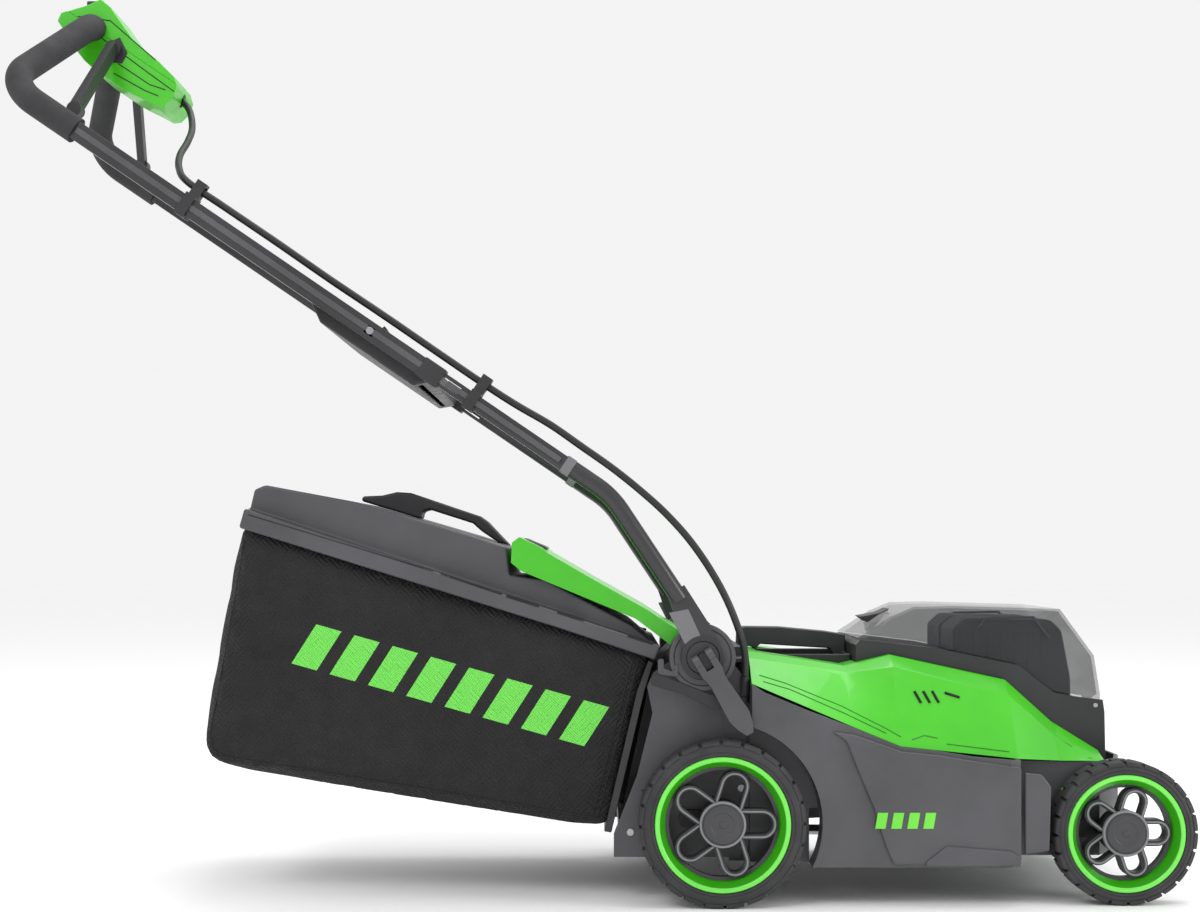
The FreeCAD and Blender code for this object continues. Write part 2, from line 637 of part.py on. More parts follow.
def carry_handle():
    tray = box("handle_tray", 178.0, 284.0, -60.0, 60.0, 226.0, 262.0)
    room = box("handle_room", 181.0, 280.0, -57.0, 57.0, 229.0, 270.0)
    arch = prism("handle_arch", "XZ_Plane", [
        (159.0, 268.6), (160.0, 289.0), (168.0, 291.0), (208.0, 290.5), (262.0, 285.5), (284.0, 282.0),
        (284.0, 229.0), (275.0, 229.0), (273.0, 254.0), (266.0, 266.0), (185.0, 271.0), (181.0, 266.0),
        (181.0, 229.0), (178.0, 229.0), (178.0, 268.6)], -16.0, 16.0)
    keep(fuse("carry_handle", cut("handle_dish", tray, room), arch), "carry_handle")


def discharge_chute():
    half = size("chute_half")
    thin = half - 4.0
    whole = prism("chute_whole", "XZ_Plane", [
        (20.0, 68.0), (72.0, 101.0), (138.0, 104.4), (240.0, 104.4), (240.0, 116.0), (158.0, 200.0), (158.0, 272.0),
        (102.0, 272.0), (86.0, 271.0), (57.0, 244.0)], -half, half)
    air = prism("chute_air", "XZ_Plane", [
        (10.0, 68.0), (24.0, 74.5), (70.0, 103.5), (160.0, 108.0), (234.0, 104.0), (234.0, 112.0), (152.0, 196.0),
        (110.0, 222.0), (58.0, 238.0), (20.0, 238.0)], -thin, thin)
    spare = prism("chute_spare", "XZ_Plane", [
        (78.0, 238.0), (112.0, 227.0), (154.0, 201.0), (154.0, 268.0), (100.0, 268.0)], -thin, thin)
    foot = box("chute_foot", 158.0, 241.0, -thin, thin, 100.0, 112.0)
    pin = cylinder_y("chute_pin_clear", size("flap_x"), -half - 1.0, half + 1.0, size("flap_z"), 14.0)
    bridge = box("chute_bridge", 124.0, 158.0, -(size("frame_low") - 0.4), size("frame_low") - 0.4, 258.0, 262.0)
    duct = cut("chute_duct", whole, air, spare, foot, pin)
    keep(fuse("discharge_chute", duct, bridge), "discharge_chute")


def hinge_pins():
    low = size("frame_low") - 0.1
    pins = [cylinder_y("flap_pin", size("flap_x"), -low, low, size("flap_z"), size("flap_pin_radius"))]
    for name, side in both_sides():
        y_low, y_high = span(side, 60.0, size("housing_half"))
        pins.append(cylinder_y("lid_pin_" + name, size("lid_x"), y_low, y_high, size("lid_z"), size("lid_pin_radius")))
    return pins


def motor_and_blade():
    x = size("blade_x")
    floor = size("chamber_roof") + size("wall")
    shaft = size("shaft_radius")
    can = cylinder_z("motor_can", x, 0.0, floor, floor + size("motor_tall"), size("motor_radius"))
    bore = cylinder_z("motor_bore", x, 0.0, floor - 5.0, floor + size("motor_tall") - 6.0, shaft + size("running_gap"))
    keep(cut("blade_motor", can, bore), "blade_motor")
    top = size("blade_low") + size("blade_thick")
    boss = cylinder_z("adaptor_boss", x, 0.0, top, top + 8.0, 25.0)
    spindle = cylinder_z("adaptor_spindle", x, 0.0, top + 7.0, floor + size("motor_tall") - 8.0, shaft)
    thread = cylinder_z("adaptor_thread", x, 0.0, top - 1.0, top + 24.0, size("bolt_radius"))
    keep(cut("blade_adaptor", fuse("adaptor_whole", boss, spindle), thread), "blade_adaptor")
    reach = size("blade_radius")
    half = size("blade_width") / 2.0
    bar = prism("blade_bar", "XY_Plane", [
        (-reach, -half + 8.0), (-reach + 10.0, -half), (reach, -half), (reach, half - 8.0), (reach - 10.0, half),
        (-reach, half)], size("blade_low"), top)
    place(bar, x, 0.0, 0.0)
    hole = cylinder_z("blade_hole", x, 0.0, size("blade_low") - 1.0, top + 1.0, size("bolt_radius"))
    keep(cut("blade", bar, hole), "blade")
    head = cylinder_z("bolt_head", x, 0.0, size("blade_low") - 8.0, size("blade_low"), 10.0)
    shank = cylinder_z("bolt_shank", x, 0.0, size("blade_low") - 1.0, top + 22.0, size("bolt_radius"))
    keep(fuse("blade_bolt", head, shank), "blade_bolt")


def small_deck_parts():
    heads = []
    face = size("frame_low") + size("frame_thick")
    for name, side in both_sides():
        low, high = span(side, face, face + 2.0)
        for number, (x, z) in enumerate(((33.0, 74.0), (153.0, 205.0), (153.0, 122.0))):
            heads.append(cylinder_y("screw_{}_{}".format(name, number), x, low, high, z, 4.0))
    keep(group("fasteners", hinge_pins() + heads), "fasteners")
    out = -(face + 5.7)
    keep(fuse("cord_gland", cylinder_z("gland_tube", 157.0, out, 222.0, 243.0, 4.9),
              cylinder_z("gland_tip", 157.0, out, 216.0, 223.0, 4.0)), "cord_gland")


# ---- handle ----------------------------------------------------------------------------------------

def lower_handle():
    side_out = size("outer_tube") / 2.0
    inner_out = side_out - size("tube_wall") - size("slide_gap")
    inner_in = inner_out - size("tube_wall")
    y = size("rail_y")
    low_face = size("ear_face") + 0.5
    bolts = []
    for name, side in both_sides():
        node = "lower_tube_" + name
        centre = y * side
        straight = rail_box(node + "_straight", 60.0, size("inner_high"), centre - inner_out, centre + inner_out,
                            -inner_out, inner_out)
        hollow = rail_box(node + "_hollow", 76.0, size("inner_high") + 5.0, centre - inner_in, centre + inner_in,
                          -inner_in, inner_in)
        slot = rail_box(node + "_slot", 196.0, 322.0, centre - side_out, centre + side_out, -4.6, 4.6)
        tube = cut(node + "_upper", straight, hollow, slot)
        start_x, start_z = rail(as_dim(62.0))
        path = [(start_x, centre, start_z), (size("bend_x"), centre, size("bend_z")),
                (size("knee_x"), centre, size("knee_z"))]
        bent = feature(node + "_bent", tube_shape(path, [95.0], size("bent_tube_radius")))
        low, high = span(side, low_face, low_face + size("plate_thick"))
        plate = prism(node + "_plate", "XZ_Plane", [
            (size("knee_x") - 14.0, size("knee_z") + 6.0), (size("pivot_x") - 25.0, size("pivot_z") + 30.0),
            (size("pivot_x") - 22.0, size("pivot_z") + 8.0), (size("pivot_x") + 20.0, size("pivot_z") + 10.0),
            (size("pivot_x") + 4.0, size("pivot_z") + 40.0), (size("knee_x") + 4.0, size("knee_z") + 16.0)],
            low, high)
        disc = cylinder_y(node + "_disc", size("pivot_x"), low, high, size("pivot_z"), size("plate_radius"))
        reach_low, reach_high = span(side, low_face - 1.0, low_face + size("plate_thick") + 1.0)
        hole = cylinder_y(node + "_hole", size("pivot_x"), reach_low, reach_high, size("pivot_z"),
                          size("pivot_bolt_radius") + size("running_gap"))
        keep(cut(node, fuse(node + "_whole", tube, bent, plate, disc), hole), node)
        bolts.append(pivot_bolt(name, side))
    keep(group("pivot_bolts", bolts), "pivot_bolts")


def pivot_bolt(name, side):
    """Bolt through the ear, with a head inside and an eye for the clamping lever outside."""
    x = size("pivot_x")
    z = size("pivot_z")
    low, high = span(side, 137.0, 142.4)
    head = cylinder_y("bolt_head_" + name, x, low, high, z, 10.0)
    low, high = span(side, 142.0, size("cam_pin_out") + 4.0)
    shank = cylinder_y("bolt_shank_" + name, x, low, high, z, size("pivot_bolt_radius"))
    eye = document.addObject("Part::Cylinder", "bolt_eye_hole_" + name)
    bind(eye, Radius=as_dim(3.0) + size("running_gap"), Height=40.0)
    turn = size("cam_tilt")
    place(eye, x - 20.0 * cosine(turn), size("cam_pin_out") * side, z - 20.0 * sine(turn), (0, 1, 0),
          90.0 - turn)
    flats = []
    for sign in (-1.0, 1.0):
        flat = document.addObject("Part::Box", "bolt_flat_{}_{}".format(name, "a" if sign < 0 else "b"))
        bind(flat, Length=20.0, Width=16.0, Height=20.0)
        offset = 4.0 if sign > 0 else -24.0
        place(flat, x + offset * cosine(turn) - 10.0 * sine(turn) * -1.0, size("cam_pin_out") * side - 8.0,
              z + offset * sine(turn) - 10.0 * cosine(turn), (0, 1, 0), -turn)
        flats.append(flat)
    return cut("pivot_bolt_" + name, fuse("bolt_whole_" + name, head, shank), eye, flats[0], flats[1])


def cam_levers():
    """Quick-release levers: a fork and pin at the bolt's eye and a finger lever hanging down."""
    reach = size("cam_reach")
    for name, side in both_sides():
        node = "cam_lever_" + name
        pin = cylinder_x(node + "_pin", -12.0, 12.0, 0.0, 0.0, 3.0)
        left = cylinder_x(node + "_ear_a", -12.0, -4.4, 0.0, 0.0, 7.0)
        right = cylinder_x(node + "_ear_b", 4.4, 12.0, 0.0, 0.0, 7.0)
        neck_a = box(node + "_neck_a", -12.0, -4.4, -4.0, 4.0, -20.0, 0.0)
        neck_b = box(node + "_neck_b", 4.4, 12.0, -4.0, 4.0, -20.0, 0.0)
        paddle = prism(node + "_paddle", "XZ_Plane", [
            (-12.0, -12.0), (-9.5, -30.0), (-12.0, -reach + 12.0), (-9.0, -reach), (-4.0, -reach - 10.0),
            (4.0, -reach - 10.0), (9.0, -reach), (12.0, -reach + 12.0), (9.5, -30.0), (12.0, -12.0)], -4.0, 4.0)
        window = box(node + "_window", -4.4, 4.4, -8.0, 8.0, -14.0, 8.0)
        arms = cut(node + "_arms", fuse(node + "_blank", left, right, neck_a, neck_b, paddle), window)
        lever = keep(fuse(node, arms, pin), node)
        place(lever, size("pivot_x"), size("cam_pin_out") * side, size("pivot_z"), (0, 1, 0), -size("cam_tilt"))


def upper_handle():
    half = size("outer_tube") / 2.0
    bore = half - size("tube_wall")
    y = size("rail_y")
    for name, side in both_sides():
        node = "outer_tube_" + name
        centre = y * side
        blank = rail_box(node + "_blank", size("outer_low"), size("outer_high"), centre - half, centre + half,
                         -half, half)
        hollow = rail_box(node + "_hollow", size("outer_low") - 5.0, size("outer_high") + 5.0, centre - bore,
                          centre + bore, -bore, bore)
        pin = rail_box(node + "_pin_hole", 305.5, 316.5, centre - half - 2.0, centre + half + 2.0, -4.5, 4.5)
        keep(cut(node, blank, hollow, pin), node)
    grips = []
    corner_x, corner_z = rail(size("corner_along"))
    bend = size("box_half") + 10.0
    for name, side in both_sides():
        start_x, start_z = rail(size("grip_low"))
        path = [(start_x, y * side, start_z), (corner_x, y * side, corner_z),
                (size("bar_x"), bend * side, size("bar_z")),
                (size("bar_x"), (size("box_half") + 0.2) * side, size("bar_z"))]
        grips.append(feature("grip_" + name, grip_shape(path, side)))
    keep(group("foam_grips", grips), "foam_grips")
    low_x, low_z = rail(as_dim(640.0))
    route = [(low_x, -y, low_z), (corner_x, -y, corner_z), (size("bar_x"), -bend, size("bar_z")),
             (size("bar_x"), bend, size("bar_z")), (corner_x, y, corner_z), (low_x, y, low_z)]
    loop = tube_shape(route, [40.0, 22.0, 22.0, 40.0], size("loop_radius") - 2.6, size("loop_radius") - 4.6)
    keep(feature("handle_loop", loop), "handle_loop")
    cross_brace()
    cable_clips()


def grip_shape(path, side):
    """Foam sleeve along the lower leg, round the corner and up to the switch box."""
    inner = float(size("loop_radius")) - 2.6
    sleeve = tube_shape(path, [40.0, 22.0], size("foam_radius"), inner)
    tube_half = float(size("outer_tube")) / 2.0
    angle = FreeCAD.Rotation(FreeCAD.Vector(0, 1, 0), float(size("rail_angle")))
    high = float(size("outer_high")) + 0.2
    x, z = rail(as_dim(high), as_dim(-tube_half - 0.1))
    seat = Part.makeBox(60.0, 2.0 * tube_half + 0.2, 2.0 * tube_half + 0.2)
    seat.Placement = FreeCAD.Placement(
        FreeCAD.Vector(float(x), float(size("rail_y")) * side - tube_half - 0.1, float(z)), angle)
    return sleeve.cut(seat)


def cross_brace():
    """Moulded brace between the rails that houses the height lock."""
    half = size("rail_y") - size("outer_tube") / 2.0
    mid = as_dim(312.0)
    low = mid - 82.0
    high = mid + 82.0
    corners = [rail(low, as_dim(-8.0)), rail(low, as_dim(7.0)), rail(high, as_dim(7.0)), rail(high, as_dim(-4.0)),
               rail(high - 30.0, as_dim(-22.0)), rail(low + 14.0, as_dim(-22.0))]
    blank = prism("brace_blank", "XZ_Plane", corners, -half, half)
    room = rail_box("brace_room", low + 8.0, high - 34.0, -half + 20.0, half - 20.0, -18.0, 3.0)
    lever = rail_box("brace_slot", mid - 16.0, mid + 22.0, -12.6, 12.6, 0.0, 12.0)
    keep(cut("cross_brace", blank, room, lever), "cross_brace")
    x, z = rail(mid - 10.0, as_dim(2.6))
    pivot = cylinder_y("tab_pivot", x, -12.0, 12.0, z, 3.0)
    tab = prism("tab_plate", "XZ_Plane", [rail(mid - 12.0, as_dim(1.0)), rail(mid - 8.0, as_dim(6.0)),
                rail(mid - 4.0, as_dim(9.0)), rail(mid + 18.0, as_dim(19.0)), rail(mid + 19.0, as_dim(16.0)),
                rail(mid + 2.0, as_dim(5.0)), rail(mid - 4.0, as_dim(1.0))], -12.0, 12.0)
    keep(fuse("lock_lever", pivot, tab), "lock_lever")
    for name, side in both_sides():
        low_y, high_y = span(side, size("rail_y") + 1.0, size("rail_y") + size("outer_tube") / 2.0 + 1.5)
        x, z = rail(as_dim(311.0))
        keep(cylinder_y("lock_pin_" + name, x, low_y, high_y, z, 4.0), "lock_pin_" + name)


def cable_clips():
    """Two clips that hold the lead off the right rail."""
    half = size("outer_tube") / 2.0
    inner = half - size("tube_wall") - size("slide_gap")
    clips = []
    for number, (along, fit, gap) in enumerate(((549.0, half, 0.0), (180.0, inner, 0.4))):
        name = "clip_{}".format(number)
        centre = -size("rail_y")
        out = fit + 3.0
        blank = rail_box(name + "_blank", along - 6.0, along + 6.0, centre - out, centre + out, -out, 31.0)
        grip = rail_box(name + "_grip", along - 7.0, along + 7.0, centre - fit - gap, centre + fit + gap,
                        -fit - gap, fit + gap)
        narrow_a = rail_box(name + "_side_a", along - 7.0, along + 7.0, centre - out - 1.0, centre - 3.5, fit + 3.0, 40.0)
        narrow_b = rail_box(name + "_side_b", along - 7.0, along + 7.0, centre + 9.5, centre + out + 1.0, fit + 3.0, 40.0)
        x, z = rail(as_dim(along), as_dim(22.0))
        hole = document.addObject("Part::Cylinder", name + "_hole")
        bind(hole, Radius=size("cord_radius") + 1.9, Height=40.0)
        hx, hz = rail(as_dim(along + 20.0), as_dim(22.0))
        place(hole, hx, centre + 3.0, hz, (0, 1, 0), size("rail_angle") + 90.0)
        clips.append(cut(name, blank, grip, narrow_a, narrow_b, hole))
    keep(group("cable_clips", clips), "cable_clips")


BOX_EDGE = ((-620.0, 985.0), (-616.0, 994.0), (-586.0, 1003.0), (-571.0, 1010.0), (-560.0, 1001.0),
            (-533.6, 963.0), (-505.0, 939.0), (-487.0, 921.0), (-484.0, 910.0), (-487.6, 898.5), (-498.0, 888.0),
            (-507.0, 887.0), (-517.5, 893.0), (-536.0, 902.0), (-551.0, 911.0), (-576.0, 928.0), (-589.0, 939.0),
            (-597.0, 949.0))
BOX_ROOM = ((-616.0, 985.0), (-613.0, 991.0), (-585.0, 999.5), (-572.0, 1005.5), (-563.0, 998.5), (-536.0, 961.0),
            (-507.0, 936.5), (-490.0, 919.5), (-487.6, 910.0), (-490.6, 900.0), (-499.0, 891.5), (-506.0, 890.8),
            (-516.0, 896.5), (-534.5, 905.5), (-549.0, 914.6), (-573.6, 931.2), (-586.0, 941.5), (-593.0, 950.5))


def switch_box():
    half = size("box_half")
    thin = half - size("shell_wall")
    whole = prism("box_whole", "XZ_Plane", BOX_EDGE, -half, half)
    room = prism("box_room", "XZ_Plane", BOX_ROOM, -thin, thin)
    bar = cylinder_y("box_bar_hole", size("bar_x"), -60.0, 60.0, size("bar_z"), size("loop_radius") - 2.0)
    pin = cylinder_y("box_pin_hole", size("bail_x"), -60.0, 60.0, size("bail_z"),
                     size("bail_pin_radius") + size("running_gap"))
    button = box("box_button_hole", -596.3, -579.7, -10.3, 10.3, 985.0, 1030.0)
    cord = cylinder_x("box_cord_hole", -500.0, -470.0, 0.0, 903.5, size("cord_radius") + 3.6)
    shell = cut("box_shell", whole, room, bar, pin, button, cord)
    for node, low, high in (("switch_box_upper", 0.0, 120.0), ("switch_box_lower", -120.0, 0.0)):
        side = document.addObject("Part::Box", node + "_side")
        bind(side, Length=300.0, Width=140.0, Height=high - low)
        turn = Dim("34.0", 34.0)
        place(side, size("bar_x") - 100.0 * cosine(turn) + low * sine(turn), -70.0,
              size("bar_z") + 100.0 * sine(turn) + low * cosine(turn), (0, 1, 0), 34.0)
        keep(common(node, shell, side), node)
    keep(box("lock_off_button", -596.0, -580.0, -10.0, 10.0, 992.0, 1017.5), "lock_off_button")


def strut(start, end, width, thick):
    """A flat bar from one point to another, its width across and its thickness fore and aft."""
    first = FreeCAD.Vector(*start)
    last = FreeCAD.Vector(*end)
    along = (last - first).normalize()
    across = along.cross(FreeCAD.Vector(1, 0, 0)).normalize()
    fore = across.cross(along)
    corners = []
    for a, b in ((-1, -1), (1, -1), (1, 1), (-1, 1)):
        corners.append(first + across * (a * width / 2.0) + fore * (b * thick / 2.0))
    face = Part.Face(Part.makePolygon(corners + [corners[0]]))
    return face.extrude(last - first)


def bail():
    """Two-armed starting bail that swings on a pin through the switch box."""
    x = float(size("bail_x"))
    z = float(size("bail_z"))
    out = float(size("box_half")) + 5.0
    shape = Part.makeCylinder(float(size("bail_pin_radius")), 2.0 * out, FreeCAD.Vector(x, -out, z),
                              FreeCAD.Vector(0, 1, 0))
    for side in (-1.0, 1.0):
        hub = Part.makeCylinder(8.5, 8.0, FreeCAD.Vector(x, side * (out - 4.5) - (8.0 if side < 0 else 0.0), z),
                                FreeCAD.Vector(0, 1, 0))
        arm = strut((x, side * (out + 2.5), z), (x - 15.0, side * 143.0, z - 92.0), 16.0, 9.0)
        foot = Part.makeCylinder(8.0, 16.0, FreeCAD.Vector(x - 15.0, side * 143.0 - 8.0, z - 94.0),
                                 FreeCAD.Vector(0, 1, 0))
        shape = shape.fuse([hub, arm, foot])
    keep(feature("bail", shape.removeSplitter()), "bail")


# ---- lead ------------------------------------------------------------------------------------------

CORD_UPPER = ((-487.5, 0.0, 904.5), (-475.5, -13.0, 888.0), (-466.5, -41.0, 862.0), (-463.0, -79.0, 838.0),
              (-463.5, -114.0, 815.0), (-457.0, -145.0, 794.0), (-442.0, -170.5, 774.6), (-401.0, -172.0, 746.4),
              (-347.0, -172.5, 709.8), (-289.5, -171.5, 670.0), (-231.7, -172.0, 631.2), (-176.0, -172.4, 592.9),
              (-124.3, -172.0, 557.6))
CORD_MIDDLE = ((-123.9, -172.0, 557.3), (-90.0, -172.4, 535.5), (-53.0, -171.5, 514.0), (-20.0, -172.0, 491.0),
               (14.0, -172.5, 467.0), (44.0, -172.0, 443.0))
CORD_LOWER = ((44.4, -172.0, 442.7), (70.0, -171.0, 419.5), (95.0, -169.5, 392.0), (117.0, -168.0, 361.0),
              (135.0, -166.0, 329.0), (148.0, -162.0, 298.0), (156.0, -156.0, 271.0), (157.0, -153.7, 243.7))


def cords():
    for node, points in (("cord_upper", CORD_UPPER), ("cord_middle", CORD_MIDDLE), ("cord_lower", CORD_LOWER)):
        radii = cord_radii(points)
        shape = tube_shape(points, radii, size("cord_radius"))
        length = rounded_path(points, radii).Length
        section = math.pi * float(size("cord_radius")) ** 2
        print(node, "length", round(length), "volume share", round(shape.Volume / (section * length), 3),
              "smallest arc", round(min(radii)))
        keep(feature(node, shape), node)


# ---- flap and bag ----------------------------------------------------------------------------------

def rear_flap():
    half = size("flap_half")
    top = [(-97.0, 366.0), (-96.0, 388.0), (-88.0, 394.0), (-66.0, 383.0), (-56.0, 376.0), (-6.0, 347.0),
           (53.0, 314.0), (75.0, 299.0), (92.0, 289.0), (98.0, 282.0), (92.0, 275.0), (76.0, 277.0), (39.0, 305.0),
           (-86.0, 357.0)]
    room = [(-110.0, 340.0), (-93.0, 366.0), (-92.0, 386.0), (-87.0, 389.6), (-68.0, 379.6), (-58.0, 372.6),
            (-8.0, 343.6), (51.0, 310.6), (70.0, 298.0), (76.0, 270.0), (39.0, 290.0)]
    whole = prism("flap_whole", "XZ_Plane", top, -half, half)
    thin = half - 3.0
    inside = prism("flap_room", "XZ_Plane", room, -thin, thin)
    bore = cylinder_y("flap_bore", size("flap_x"), -half - 1.0, half + 1.0, size("flap_z"),
                      size("flap_pin_radius") + size("running_gap"))
    keep(cut("rear_flap", whole, inside, bore), "rear_flap")


def grass_bag():
    half = size("bag_half")
    wall = size("bag_wall")
    rim = size("rim_half")
    sack = prism("sack_whole", "XZ_Plane", [
        (-390.0, 403.0), (-433.0, 171.0), (-428.0, 153.0), (-412.0, 145.0), (-43.0, 84.5), (4.0, 77.0), (40.0, 228.0),
        (52.0, 262.0), (-43.0, 294.0)], -half, half)
    room = prism("sack_room", "XZ_Plane", [
        (-387.0, 412.0), (-430.0, 171.0), (-425.0, 155.5), (-411.5, 148.2), (-43.0, 87.6), (10.0, 78.5), (80.0, 265.0),
        (-43.0, 312.0)], -half + wall, half - wall)
    keep(cut("bag_fabric", sack, room), "bag_fabric")
    mouth = prism("mouth_whole", "XZ_Plane", [(4.4, 75.0), (12.4, 73.6), (48.4, 228.0), (58.0, 258.0), (52.6, 260.6),
                  (40.4, 228.0)], -half, half)
    gap = box("mouth_gap", -20.0, 80.0, -half + 8.0, half - 8.0, 84.0, 252.0)
    keep(cut("bag_frame", mouth, gap), "bag_frame")
    band = prism("rim_band", "XZ_Plane", [(-390.5, 404.0), (-384.5, 425.0), (-43.0, 312.0), (66.0, 276.0),
                 (60.0, 260.8), (-43.0, 295.0)], -rim, rim)
    crown = prism("lid_crown", "XZ_Plane", [
        (-384.0, 420.0), (-378.0, 446.0), (-366.0, 451.0), (-270.0, 433.0), (-203.0, 414.0), (-142.0, 396.0),
        (-102.0, 383.0), (-99.0, 352.0), (-60.0, 348.0), (34.0, 298.0), (60.0, 276.0), (-43.0, 309.0)], -132.0, 132.0)
    inside = prism("lid_inside", "XZ_Plane", [
        (-386.0, 395.0), (-379.0, 424.0), (-374.0, 443.0), (-365.0, 446.5), (-271.0, 429.0), (-204.0, 410.0),
        (-143.0, 392.0), (-106.0, 380.0), (-103.0, 348.0), (-61.0, 344.0), (30.0, 295.0), (50.0, 272.0),
        (50.0, 255.0), (-43.0, 285.0)], -128.0, 128.0)
    edge = prism("rim_inside", "XZ_Plane", [(-386.0, 395.0), (-381.0, 418.0), (-43.0, 306.5), (62.0, 272.0),
                 (56.0, 255.0), (-43.0, 285.0)], -half - 0.1, half + 0.1)
    bag_lid = cut("bag_lid", fuse("bag_lid_whole", band, crown), inside, edge)
    keep(bag_lid, "bag_lid")
    grip = prism("bag_grip", "XZ_Plane", [
        (-276.0, 436.4), (-275.0, 442.0), (-252.0, 443.0), (-235.0, 447.0), (-219.0, 446.0), (-139.0, 419.0),
        (-130.0, 412.5), (-104.0, 385.0), (-118.0, 388.6), (-137.0, 401.5), (-147.0, 410.5), (-197.0, 426.5),
        (-205.0, 424.5), (-207.0, 415.6)], -18.0, 18.0)
    keep(grip, "bag_handle")


def check_and_write():
    document.recompute()
    failed = [obj.Name for obj in document.Objects if "Invalid" in obj.State or "Error" in obj.State]
    if failed:
        raise RuntimeError("failed objects: " + ", ".join(failed))
    bad = [node for node, obj in PARTS.items()
           if obj.Shape.isNull() or not obj.Shape.isValid() or obj.Shape.Volume < 1.0]
    if bad:
        raise RuntimeError("bad shapes: " + ", ".join(bad))
    os.makedirs(OUT, exist_ok=True)
    for node, obj in PARTS.items():
        obj.Shape.exportStep(os.path.join(OUT, node + ".step"))
    whole = Part.makeCompound([obj.Shape for obj in PARTS.values()]).BoundBox
    print(len(PARTS), "parts; X", round(whole.XMin, 1), round(whole.XMax, 1), "Y", round(whole.YMin, 1),
          round(whole.YMax, 1), "Z", round(whole.ZMin, 1), round(whole.ZMax, 1))


wheels()
height_gear()
chassis()
rear_frames()
top_cover()
battery_housing()
battery_packs()
clear_lid()
carry_handle()
discharge_chute()
motor_and_blade()
small_deck_parts()
lower_handle()
cam_levers()
upper_handle()
switch_box()
bail()
cords()
rear_flap()
grass_bag()
check_and_write()
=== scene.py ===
import json
import math

import bmesh
import bpy
from mathutils import Matrix, Vector, noise
from mathutils.bvhtree import BVHTree

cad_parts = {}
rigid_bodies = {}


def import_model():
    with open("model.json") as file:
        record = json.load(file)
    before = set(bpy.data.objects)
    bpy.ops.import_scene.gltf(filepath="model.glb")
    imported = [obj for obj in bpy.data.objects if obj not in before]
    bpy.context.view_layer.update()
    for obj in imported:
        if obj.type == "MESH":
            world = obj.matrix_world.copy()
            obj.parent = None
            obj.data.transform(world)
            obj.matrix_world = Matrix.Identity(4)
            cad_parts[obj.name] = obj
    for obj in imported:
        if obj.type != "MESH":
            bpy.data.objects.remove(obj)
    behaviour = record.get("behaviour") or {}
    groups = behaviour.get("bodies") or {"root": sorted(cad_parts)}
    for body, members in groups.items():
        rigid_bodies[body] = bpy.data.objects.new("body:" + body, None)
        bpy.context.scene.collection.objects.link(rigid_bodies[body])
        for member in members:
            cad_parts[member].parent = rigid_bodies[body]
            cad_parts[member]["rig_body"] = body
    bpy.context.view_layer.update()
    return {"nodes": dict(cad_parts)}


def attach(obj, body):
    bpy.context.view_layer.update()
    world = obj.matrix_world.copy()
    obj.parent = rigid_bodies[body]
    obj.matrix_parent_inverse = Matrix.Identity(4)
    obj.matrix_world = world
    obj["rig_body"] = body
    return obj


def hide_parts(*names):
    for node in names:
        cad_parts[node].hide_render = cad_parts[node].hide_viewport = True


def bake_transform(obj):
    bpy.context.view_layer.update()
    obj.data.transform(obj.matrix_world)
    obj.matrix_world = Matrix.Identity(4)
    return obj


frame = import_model()


# ---- Cutting deck -------------------------------------------------------------------------
# One injection-moulded polypropylene housing over the blade, with straight skirts, a stepped nose and
# wheel arches. The skirt bulges outward ahead of the rear wheel and carries a raised lower flap.

def paint(red, green, blue):
    """Linear colour of a paint or pellet shade given as three 0-255 display values."""
    shades = []
    for value in (red, green, blue):
        share = value / 255.0
        shades.append(share / 12.92 if share <= 0.04045 else ((share + 0.055) / 1.055) ** 2.4)
    return (*shades, 1.0)


def wire(tree, kind, settings=None, **inputs):
    """Adds a shader node; each input is a plain value or the socket that feeds it."""
    made = tree.nodes.new(kind)
    for key, value in (settings or {}).items():
        setattr(made, key, value)
    for key, value in inputs.items():
        socket = made.inputs[key.replace("_", " ")]
        if isinstance(value, bpy.types.NodeSocket):
            tree.links.new(value, socket)
        else:
            socket.default_value = value
    return made


